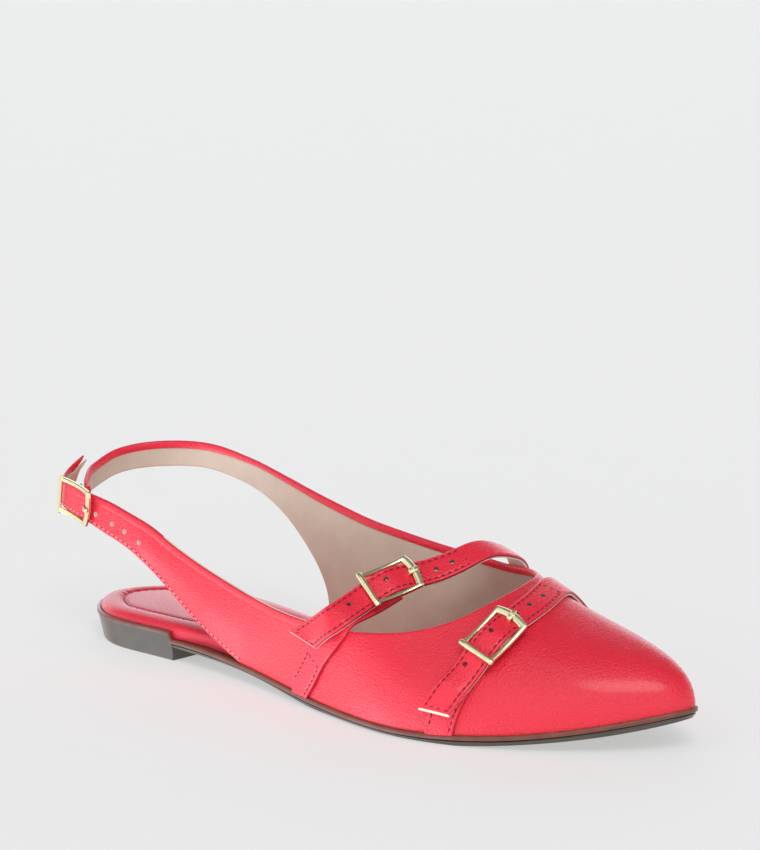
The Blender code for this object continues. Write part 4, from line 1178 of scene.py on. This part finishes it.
# %% One cross-section for all strips
# Half of it from the foot of the side to the crown: place across, height as a share of the thickness, and
# depth of the sewn groove; the other half is its mirror image
HALF = STRAP_WIDTH / 2.0
GROOVE = 1.3
LINE = HALF - GROOVE
# The strip's sides take a darker red, which is painted shade along its edges
TOP_FACE, REVERSE, SHADED_SIDE_KIND = range(3)
Profile = namedtuple("Profile", "across height groove kind")
SHOULDER = (
    Profile(HALF, 0.0, 0.0, REVERSE),
    Profile(HALF, 0.3, 0.0, SHADED_SIDE_KIND),
    Profile(HALF, 0.62, 0.0, SHADED_SIDE_KIND),
    Profile(HALF - 0.12, 0.86, 0.0, TOP_FACE),
    Profile(HALF - 0.4, 0.98, 0.0, TOP_FACE),
    Profile(HALF - 0.85, 1.02, 0.0, TOP_FACE),
    Profile(LINE + 0.2, 1.03, 0.05, TOP_FACE),
    Profile(LINE, 1.04, 0.15, TOP_FACE),
    Profile(LINE - 0.2, 1.04, 0.05, TOP_FACE),
    Profile(HALF - 1.9, 1.05, 0.0, TOP_FACE),
    Profile(HALF - 3.2, 1.08, 0.0, TOP_FACE),
)
CROWN = (Profile(0.0, 1.1, 0.0, TOP_FACE),)
SIDE_SHADE_BELOW = 0.9
FAR_SIDE = tuple(
    Profile(-p.across, p.height, p.groove, SHADED_SIDE_KIND if p.height < SIDE_SHADE_BELOW else TOP_FACE)
    for p in reversed(SHOULDER[2:])
)
FAR_FOOT = (Profile(-HALF, 0.3, 0.0, REVERSE), Profile(-HALF, 0.0, 0.0, REVERSE))
UNDERSIDE = tuple(Profile(place, 0.0, 0.0, REVERSE) for place in (-HALF / 2.0, 0.0, HALF / 2.0))
STRIP_PROFILE = SHOULDER + CROWN + FAR_SIDE + FAR_FOOT + UNDERSIDE
STRIP_ACROSS = np.array(sorted({p.across for p in STRIP_PROFILE}))
print("a strip's section has", len(STRIP_PROFILE), "points")

# %% Straps and tabs from that section
END_BEVEL = 1.05
BEVEL_FADE = 3.0
SEWN_FADE = (-1.0, 1.5)


def make_strip(name, table, thick, node, cut, sole_row, sewn_to, finishes):
    """A strip of leather with rounded shoulders; its grooves end where the sewing ends."""
    under, outer, along, _, _ = ribbon_grids(table, thick, STRIP_ACROSS, RIBBON_STEPS, cut)
    for grid in (under, outer):
        grid[sole_row, :, 2] = edge_top(grid[sole_row, :, 0]) + SEAT_GAP
    sewn = 1.0 - fade(along, sewn_to + SEWN_FADE[0], sewn_to + SEWN_FADE[1])
    loops = []
    for point in STRIP_PROFILE:
        j = int(np.argmin(np.abs(STRIP_ACROSS - point.across)))
        level = (point.height - point.groove * sewn)[:, None]
        loops.append(under[:, j] + (outer[:, j] - under[:, j]) * level)
    loops = np.stack(loops, axis=1)
    if cut:
        ahead = unit(np.gradient(loops, axis=0))
        shorter = END_BEVEL * np.clip(1.0 - along / BEVEL_FADE, 0.0, 1.0)
        heights = np.array([point.height for point in STRIP_PROFILE])
        loops += ahead * shorter[:, None, None] * heights[None, :, None]
    faces = loft(loops) + end_caps(loops)
    kinds = [point.kind for point in STRIP_PROFILE] * (len(loops) - 1) + [REVERSE, REVERSE]
    made = make_piece(name, loops.reshape(-1, 3), faces, finishes, kinds, node, 46.0)
    return made, Strip(under, outer, STRIP_ACROSS, along)


# Both lists give the strips' sides the darker red of painted shade
BACKED_LEATHER = [STRAP_LEATHER, BACKING, STRAP_SIDE_SHADE]
FOLDED_LEATHER = [STRAP_LEATHER, STRAP_LEATHER, STRAP_SIDE_SHADE]
REAR_SEWN_TO = 65.1
FRONT_SEWN_TO = 59.9
TAB_BOX_TOP = 14.7
TAB_GROOVE_TO = 40.0
REAR_CUT = 8.0
FRONT_CUT = 4.0
NO_CUT = 0.0
FIRST_ROW = 0
LAST_ROW = -1
strap_rear, rear_strip = make_strip(
    "instep_strap", STRAP_REAR, STRAP_THICK, "strap_rear", REAR_CUT, LAST_ROW, REAR_SEWN_TO, BACKED_LEATHER
)
strap_front, front_strip = make_strip(
    "vamp_strap", STRAP_FRONT, STRAP_THICK, "strap_front", FRONT_CUT, LAST_ROW, FRONT_SEWN_TO, BACKED_LEATHER
)
_, rear_tab_strip = make_strip(
    "instep_tab", TAB_REAR, TAB_THICK, "anchor_rear", NO_CUT, FIRST_ROW, TAB_BOX_TOP, FOLDED_LEATHER
)
_, front_tab_strip = make_strip(
    "vamp_tab", TAB_FRONT, TAB_THICK, "anchor_front", NO_CUT, FIRST_ROW, TAB_GROOVE_TO, FOLDED_LEATHER
)

# %% [markdown]
# ## Punched holes
# The holes are cut with a hollow punch right through leather and backing. In the sling the pale layers
# show inside them; in the straps, where little light gets in, the walls are painted grey-brown as shade. A
# dark spot painted on top would look flat from the side. Here each hole is a real one: a boolean takes a
# small cylinder out of the strip, and the new walls keep the finish of the cutter.

# %% Punch the straps and the sling
HOLE = 1.75
HOLE_SIDES = 20
PUNCH_DEPTHS = np.array([-1.9, 1.2])
ANY_SIDE = (0.3, 0.2, 0.9)


def punch(target, spots, ways, name, wall):
    """Takes a round hole out of a piece at each spot, along the way out of the leather."""
    angles = 2.0 * math.pi * np.arange(HOLE_SIDES) / HOLE_SIDES
    pins = []
    for spot, way in zip(spots, ways):
        side = unit(np.cross(way, ANY_SIDE))
        circle = np.cos(angles)[:, None] * side + np.sin(angles)[:, None] * np.cross(way, side)
        rings = spot + PUNCH_DEPTHS[:, None, None] * way + HOLE / 2.0 * circle
        pins.append((rings.reshape(-1, 3), loft(rings) + end_caps(rings)))
    points, faces = joined(pins)
    cutter = in_scene(name, closed_mesh(name, points, faces, [wall]))
    cut = target.modifiers.new("punch", "BOOLEAN")
    cut.operation = "DIFFERENCE"
    cut.solver = "EXACT"
    cut.material_mode = "TRANSFER"
    cut.object = cutter
    graph = bpy.context.evaluated_depsgraph_get()
    punched = bpy.data.meshes.new_from_object(target.evaluated_get(graph))
    target.modifiers.clear()
    target.data = punched
    bpy.data.objects.remove(cutter, do_unlink=True)
    print(target.name, "has", len(spots), "holes and", len(punched.polygons), "faces")


# Lengths along the straps and places across them; the sling's holes are given by rows of the upper
REAR_HOLES = ((24.3, -0.8), (38.0, -0.8), (49.3, 0.3), (55.1, 0.4), (60.9, 0.0))
FRONT_HOLES = ((18.0, -1.4), (30.5, -1.4), (40.8, -1.0), (46.8, -0.7), (53.7, 0.0))
SLING_HOLE_ROWS = (3.3, 5.5, 6.2, 6.9, 7.6)
SLING_HOLE_HEIGHT = 0.42
HOLE_LEVEL = 0.8
punch(strap_rear, *on_strip(rear_strip, *np.transpose(REAR_HOLES), HOLE_LEVEL), "rear_punch", SHADED_STRAP_HOLE_WALL)
punch(strap_front, *on_strip(front_strip, *np.transpose(FRONT_HOLES), HOLE_LEVEL), "front_punch", SHADED_STRAP_HOLE_WALL)
hole_rows = [int(round(row * PER_ROW)) for row in SLING_HOLE_ROWS]
sling_holes = [on_row(i, [row_height[i] * SLING_HOLE_HEIGHT], [0.0]) for i in hole_rows]
sling_spots = np.vstack([spot for spot, _ in sling_holes])
sling_ways = np.vstack([out for _, out in sling_holes])
punch(upper, sling_spots, sling_ways, "sling_punch", PALE_HOLE_WALL)

# %% Seams of the straps and tabs
STRAP_STITCH = Stitch(1.45, 2.3, 0.18, 0.14, 0.3)
TAB_STITCH = Stitch(1.45, 2.3, 0.18, 0.12, 0.3)
PATH_STEP = 0.5
END_LINE = 2.2
TAB_LINE_LOW = 1.2
TAB_LINE_TOP = 34.0


def strip_run(strip, corners):
    """A path over a strip through (along, across) corners, with its ways out."""
    path = []
    ways = []
    for (a, p), (b, q) in zip(corners[:-1], corners[1:]):
        steps = max(2, int(math.hypot(b - a, q - p) / PATH_STEP))
        spots, out = on_strip(strip, np.linspace(a, b, steps), np.linspace(p, q, steps), 1.0)
        path += list(spots)
        ways += list(out)
    return np.array(path), np.array(ways)


for name, strip, sewn_to in (("instep", rear_strip, REAR_SEWN_TO), ("vamp", front_strip, FRONT_SEWN_TO)):
    line = [(sewn_to, -LINE), (END_LINE, -LINE), (END_LINE, LINE), (sewn_to, LINE), (sewn_to, -LINE)]
    make_seam(name + "_strap_seam", [strip_run(strip, line)], MAROON_THREAD_AND_SHADE, STRAP_STITCH)
box_line = [(TAB_LINE_LOW, -LINE), (TAB_BOX_TOP, -LINE), (TAB_BOX_TOP, LINE), (TAB_LINE_LOW, LINE)]
box_run = strip_run(rear_tab_strip, box_line)
make_seam("instep_tab_seam", [box_run], MAROON_THREAD_AND_SHADE, TAB_STITCH)
tab_lines = [((TAB_LINE_LOW, place), (TAB_LINE_TOP, place)) for place in (-LINE, LINE)]
tab_runs = [strip_run(front_tab_strip, line) for line in tab_lines]
make_seam("vamp_tab_seams", tab_runs, MAROON_THREAD_AND_SHADE, TAB_STITCH)

# %% [markdown]
# ## Buckles
# Each buckle is a cast frame: a broad bowed bar in front, bevelled on both edges, two slim sides, a round
# bar at the back whose ends stand out, and a thin bar under the strap that carries the prong. The frame is
# lofted round its opening from an outer and an inner outline, so the corners are mitred as in the casting.
# The prong is a flat strip with a rounded tip.

# %% Seats of the buckles
BUCKLE_REACH = 8.2
BUCKLE_SIDE = 5.85
BUCKLE_BAR = 0.7
BOW = 1.0
SEAT_STEPS = 4
SLING_PER_ROW = 10
SLING_STEPS = 8
SLING_AHEAD = 40
SLING_BEHIND = 30


def square_seat(line, cross, facing, clear):
    """Seat over a piece of a strap's middle line: centre, and ways along the strap, across it and out."""
    ahead = unit(line[-1] - line[0])
    cross = unit(cross - ahead * (cross @ ahead))
    out = np.cross(cross, ahead)
    if out @ facing < 0.0:
        out = -out
    ends = (line[0] + line[-1]) / 2.0
    centre = ends + cross * ((line.mean(axis=0) - ends) @ cross)
    return centre + out * (clear + BUCKLE_BAR), ahead, cross, out


def strap_seat(table, row, clear):
    """Seat of a buckle over a row of a strap's table."""
    _, outer, along, knots, facing = ribbon_grids(table, STRAP_THICK, (-HALF, 0.0, HALF), SEAT_STEPS)
    places = knots[row] + np.array([-BUCKLE_REACH, 0.0, BUCKLE_REACH])
    back, at, front = [int(np.argmin(np.abs(along - place))) for place in places]
    return square_seat(outer[back : front + 1, 1], outer[at, 2] - outer[at, 0], facing[at], clear)


def sling_seat(row, clear):
    """Seat of the sling's buckle over the lateral strap."""
    grid, normal = upper_surface(SLING_PER_ROW, SLING_STEPS)
    at = round(SLING_PER_ROW * row)
    centre = SLING_STEPS // 2
    middle = grid[:, centre]
    far = np.linalg.norm(middle - middle[at], axis=1)
    front = at + int(np.argmin(np.abs(far[at : at + SLING_AHEAD] - BUCKLE_REACH)))
    back = at - int(np.argmin(np.abs(far[at::-1][:SLING_BEHIND] - BUCKLE_REACH)))
    return square_seat(middle[back : front + 1], grid[at, -1] - grid[at, 0], normal[at, centre], clear)


# Seat, drop of the bar under the strap, and radius of the round bar at the back
Buckle = namedtuple("Buckle", "seat drop bar")
BUCKLES = {
    "rear": Buckle(strap_seat(STRAP_REAR, 4, 1.0), 2.0, 1.05),
    "front": Buckle(strap_seat(STRAP_FRONT, 3, 1.05), 2.1, 1.05),
    "sling": Buckle(sling_seat(4.4, 1.0), 3.3, 0.75),
}


def placed(points, seat):
    """Points from a buckle's own axes into the shoe."""
    centre, ahead, cross, out = seat
    return centre + points[:, :1] * ahead + points[:, 1:2] * cross + points[:, 2:] * out


print("buckles at", {spot: np.round(buckle.seat[0], 1).tolist() for spot, buckle in BUCKLES.items()})

# %% Cast frame
SIDE_WIDTH = 1.45
FRONT_WIDTH = 2.1
FRAME_HALF = 0.6
FRAME_FRONT = BUCKLE_REACH + 0.5
FRAME_SIDE = BUCKLE_SIDE + 0.45
INNER_BACK = BUCKLE_REACH - 0.2
INNER_BOW = 0.7
OUTER_CORNER = 0.7
INNER_CORNER = 0.35
SIDE_SAG = 0.3
REAR_SHARE = 0.9
CORNER_TURNS = np.radians((30.0, 60.0, 85.0))
# Bevels of the frame: place between the outer and the inner outline, and level in half heights
BEVELS = ((0.0, -1.0), (0.0, 0.3), (0.14, 0.85), (0.3, 1.0))
BEVELS += ((0.7, 1.0), (0.86, 0.85), (1.0, 0.3), (1.0, -1.0))


def frame_outline(reach, back, side, bow, corner):
    """Closed outline of the frame: bowed front, straight sides, corners cut round."""
    front = [(reach + bow * (1.0 - s * s), s * (side - corner)) for s in np.linspace(-1.0, 1.0, 13)]
    flank = [(reach - corner * (1.0 - np.cos(a)), side - corner * (1.0 - np.sin(a))) for a in CORNER_TURNS]
    flank += [(along, side) for along in np.linspace(reach - corner, -back, 12)]
    rear = [(-back, s * side) for s in np.linspace(REAR_SHARE, -REAR_SHARE, 7)]
    return np.array(front + flank + rear + [(along, -across) for along, across in reversed(flank)])


def frame_ring(drop):
    """Bevelled frame between its outer and inner outline; the sides sag a little."""
    outer = frame_outline(FRAME_FRONT, BUCKLE_REACH, FRAME_SIDE, BOW, OUTER_CORNER)
    inner_side = FRAME_SIDE - SIDE_WIDTH
    inner = frame_outline(FRAME_FRONT - FRONT_WIDTH, INNER_BACK, inner_side, INNER_BOW, INNER_CORNER)
    rings = []
    for share, level in BEVELS:
        flat = outer * (1.0 - share) + inner * share
        sag = SIDE_SAG * drop * np.clip(1.0 - (flat[:, 0] / BUCKLE_REACH) ** 2, 0.0, 1.0)
        rings.append(np.column_stack([flat, level * FRAME_HALF - sag]))
    rings = np.array(rings)
    return rings.reshape(-1, 3), loft(rings, ring=True)


# %% Bars and prong
BAR_SIDES = 12
END_SIZE = 0.35
END_LENGTH = 0.6
UPRIGHT = 0.05
ROUND_REACH = 6.9
ROUND_LEVEL = 0.05
ROUND_SHARES = (-1.0, -0.985, -0.96, -0.93, -0.6, 0.0, 0.6, 0.93, 0.96, 0.985, 1.0)
HANGER_RADIUS = 0.6
HANGER_SIDE = BUCKLE_SIDE - 0.1
HANGER_CORNER = 0.9
# Half of the bar under the strap: distance in from the side, and level as a share of its drop
HANGER = ((0.0, 0.3), (0.0, 0.7), (HANGER_CORNER, 1.0))
# The prong from its hole to its tip: place ahead of the bowed bar, level and half width
PRONG = ((-3.2, -1.3, 0.75), (-2.8, 0.1, 0.8), (-2.2, 0.75, 0.85), (-1.2, 1.0, 0.88))
PRONG += ((-0.2, 1.05, 0.86), (0.5, 1.0, 0.74), (0.85, 0.9, 0.4))
PRONG_SECTION = ((-1.0, -0.3), (-1.0, 0.1), (-0.7, 0.33), (0.7, 0.33), (1.0, 0.1), (1.0, -0.3))


def bar_along(path, radius, ball=True):
    """A round bar along a path; its ends are rounded unless ball is off."""
    path = np.asarray(path, float)
    lengths = arc_lengths(path)
    angles = 2.0 * math.pi * np.arange(BAR_SIDES) / BAR_SIDES
    rings = []
    for spot, way, run in zip(path, unit(np.gradient(path, axis=0)), lengths):
        up = np.array([0.0, 0.0, 1.0]) - way * way[2]
        up = unit(up) if np.linalg.norm(up) > UPRIGHT else np.array([1.0, 0.0, 0.0])
        size = radius
        if ball:
            from_end = min(min(run, lengths[-1] - run) / (radius * END_LENGTH), 1.0)
            size *= END_SIZE + (1.0 - END_SIZE) * math.sqrt(max(0.0, 1.0 - (1.0 - from_end) ** 2))
        circle = np.cos(angles)[:, None] * np.cross(way, up) + np.sin(angles)[:, None] * up
        rings.append(spot + size * circle)
    rings = np.array(rings)
    return rings.reshape(-1, 3), loft(rings) + end_caps(rings)


def hanger_path(drop):
    """Path of the bar that hangs under the strap, from one side of the frame to the other."""
    half = [(0.0, distance - HANGER_SIDE, -share * drop) for distance, share in HANGER]
    return half + [(0.0, 0.0, -drop)] + [(x, -y, z) for x, y, z in reversed(half)]


def prong_strip():
    """Flat pin out of its hole and over the bowed bar."""
    rings = []
    for ahead, level, half in PRONG:
        rings.append([(BUCKLE_REACH + BOW + ahead, s * half, level + h) for s, h in PRONG_SECTION])
    rings = np.array(rings)
    return rings.reshape(-1, 3), loft(rings) + end_caps(rings)


def make_metal(name, shape, seat, node, crisp):
    """A piece of plated metal, moved from a buckle's own axes to its seat."""
    points, faces = shape
    make_piece(name, placed(points, seat), faces, [GOLD], None, node, crisp)


round_path = [(-BUCKLE_REACH, share * ROUND_REACH, ROUND_LEVEL) for share in ROUND_SHARES]
for spot, (seat, drop, bar) in BUCKLES.items():
    bars = [bar_along(round_path, bar), bar_along(hanger_path(drop), HANGER_RADIUS, ball=False)]
    make_metal(spot + "_buckle_frame", joined([frame_ring(drop)] + bars), seat, "buckle_" + spot, 30.0)
    make_metal(spot + "_buckle_prong", prong_strip(), seat, "prong_" + spot, 40.0)

# %% [markdown]
# ## Floor, light and camera
# The photograph is a studio packshot: a pale, even ground, light from all sides and hardly a shadow. The
# floor is a sheet of matt paper that glows a little, as on a light table, and it casts no shadow, so the
# lamps below it reach the shoe. The sky is white at the horizon and grey overhead, so that the sides of the
# leather get more light than its top. Of the lamps, the key stands before the toe and gives form, a weak
# one stands low beside the heel, one fills from the outer side, two glow from below and one from behind.
# The camera's place was worked out from the sole's outline in the photograph, whose frame is 760 by 850
# pixels.

# %% Floor
FLOOR_SIZE = 14.0
FLOOR_GLOW = 0.47
PAPER_CLOUD_MM = 60.0
half = FLOOR_SIZE / 2.0
corners = [(-half, -half, 0.0), (half, -half, 0.0), (half, half, 0.0), (-half, half, 0.0)]
floor_mesh = bpy.data.meshes.new("studio_floor")
floor_mesh.from_pydata(corners, [], [(0, 1, 2, 3)])
floor = in_scene("studio_floor", floor_mesh)
matt = {"Roughness": 0.9, "Specular IOR Level": 0.1}
glow = {"Emission Color": linear("#FFFFFF"), "Emission Strength": FLOOR_GLOW}
paper, tree, shader, place = new_finish("matt_paper_sweep", {**matt, **glow})
fibre = add_node(tree, "ShaderNodeTexNoise", {"Scale": per_metre(PAPER_CLOUD_MM), "Detail": 2.0}, place)
tone = add_node(tree, "ShaderNodeValToRGB", {}, {"Fac": fibre}, ((0.0, "#B4B4B4"), (1.0, "#B6B6B6")))
connect(tree, shader, {"Base Color": tone})
floor_mesh.materials.append(paper)
floor.visible_shadow = False
print("floor", FLOOR_SIZE, "m wide")

# %% Sky
SKY_STRENGTH = 1.42
SKY_TONES = ((0.0, "#FFFFFF"), (0.55, "#6E6E6E"))
world = bpy.data.worlds.new("studio_sky")
bpy.context.scene.world = world
world.use_nodes = True
sky = world.node_tree
direction = add_node(sky, "ShaderNodeTexCoord", {}, {}).outputs["Generated"]
split = add_node(sky, "ShaderNodeSeparateXYZ", {}, {"Vector": direction})
shade = add_node(sky, "ShaderNodeValToRGB", {}, {"Fac": split.outputs["Z"]}, SKY_TONES)
background = sky.nodes["Background"]
background.inputs["Strength"].default_value = SKY_STRENGTH
connect(sky, background, {"Color": shade})
print("sky strength", SKY_STRENGTH)

# %% Lamps
# Energy; then spread, height above the floor and turn from the shoe's outer side to its toe, in degrees
Lamp = namedtuple("Lamp", "name energy spread height turn colour")
LAMPS = (
    Lamp("soft_key", 0.95, 24.0, 46.0, 50.0, "#FFFFFF"),
    Lamp("low_side", 0.1, 60.0, 14.0, -46.0, "#FFFFFF"),
    Lamp("front_fill", 0.55, 60.0, 46.0, 16.0, "#FFFFFF"),
    Lamp("table_glow", 1.6, 30.0, -34.0, -50.0, "#EAF2FF"),
    Lamp("table_glow_front", 0.7, 32.0, -32.0, -12.0, "#EAF2FF"),
    Lamp("back_glow", 0.8, 60.0, 12.0, -132.0, "#E6F0FF"),
)
for lamp in LAMPS:
    light = bpy.data.lights.new(lamp.name, "SUN")
    light.color = linear(lamp.colour)[:3]
    light.energy = lamp.energy
    light.angle = math.radians(lamp.spread)
    turned = (math.radians(90.0 - lamp.height), 0.0, math.radians(lamp.turn))
    in_scene(lamp.name, light).rotation_euler = turned
print(len(LAMPS), "lamps")

# %% Camera
EYE_MM = np.array([883.55, -806.49, 297.16])
RIGHT = (0.7296, 0.6839, 0.0)
UP = (-0.1278, 0.1363, 0.9824)
BACK = (0.6719, -0.7167, 0.1869)
FOCAL_PX = 3496.8
FRAME_PX = 850.0
SENSOR_MM = 36.0
FAR_END = 50.0
camera_data = bpy.data.cameras.new("packshot_camera")
camera_data.sensor_width = SENSOR_MM
camera_data.lens = FOCAL_PX / FRAME_PX * SENSOR_MM
camera_data.clip_end = FAR_END
camera = in_scene("packshot_camera", camera_data)
eye = mathutils.Vector((EYE_MM - FRAME_ORIGIN) * MM)
axes = mathutils.Matrix((RIGHT, UP, BACK)).transposed()
camera.matrix_world = mathutils.Matrix.LocRotScale(eye, axes.to_quaternion(), None)
bpy.context.scene.camera = camera
bpy.context.scene.view_settings.view_transform = "Standard"
print("lens", round(camera_data.lens, 1), "mm")
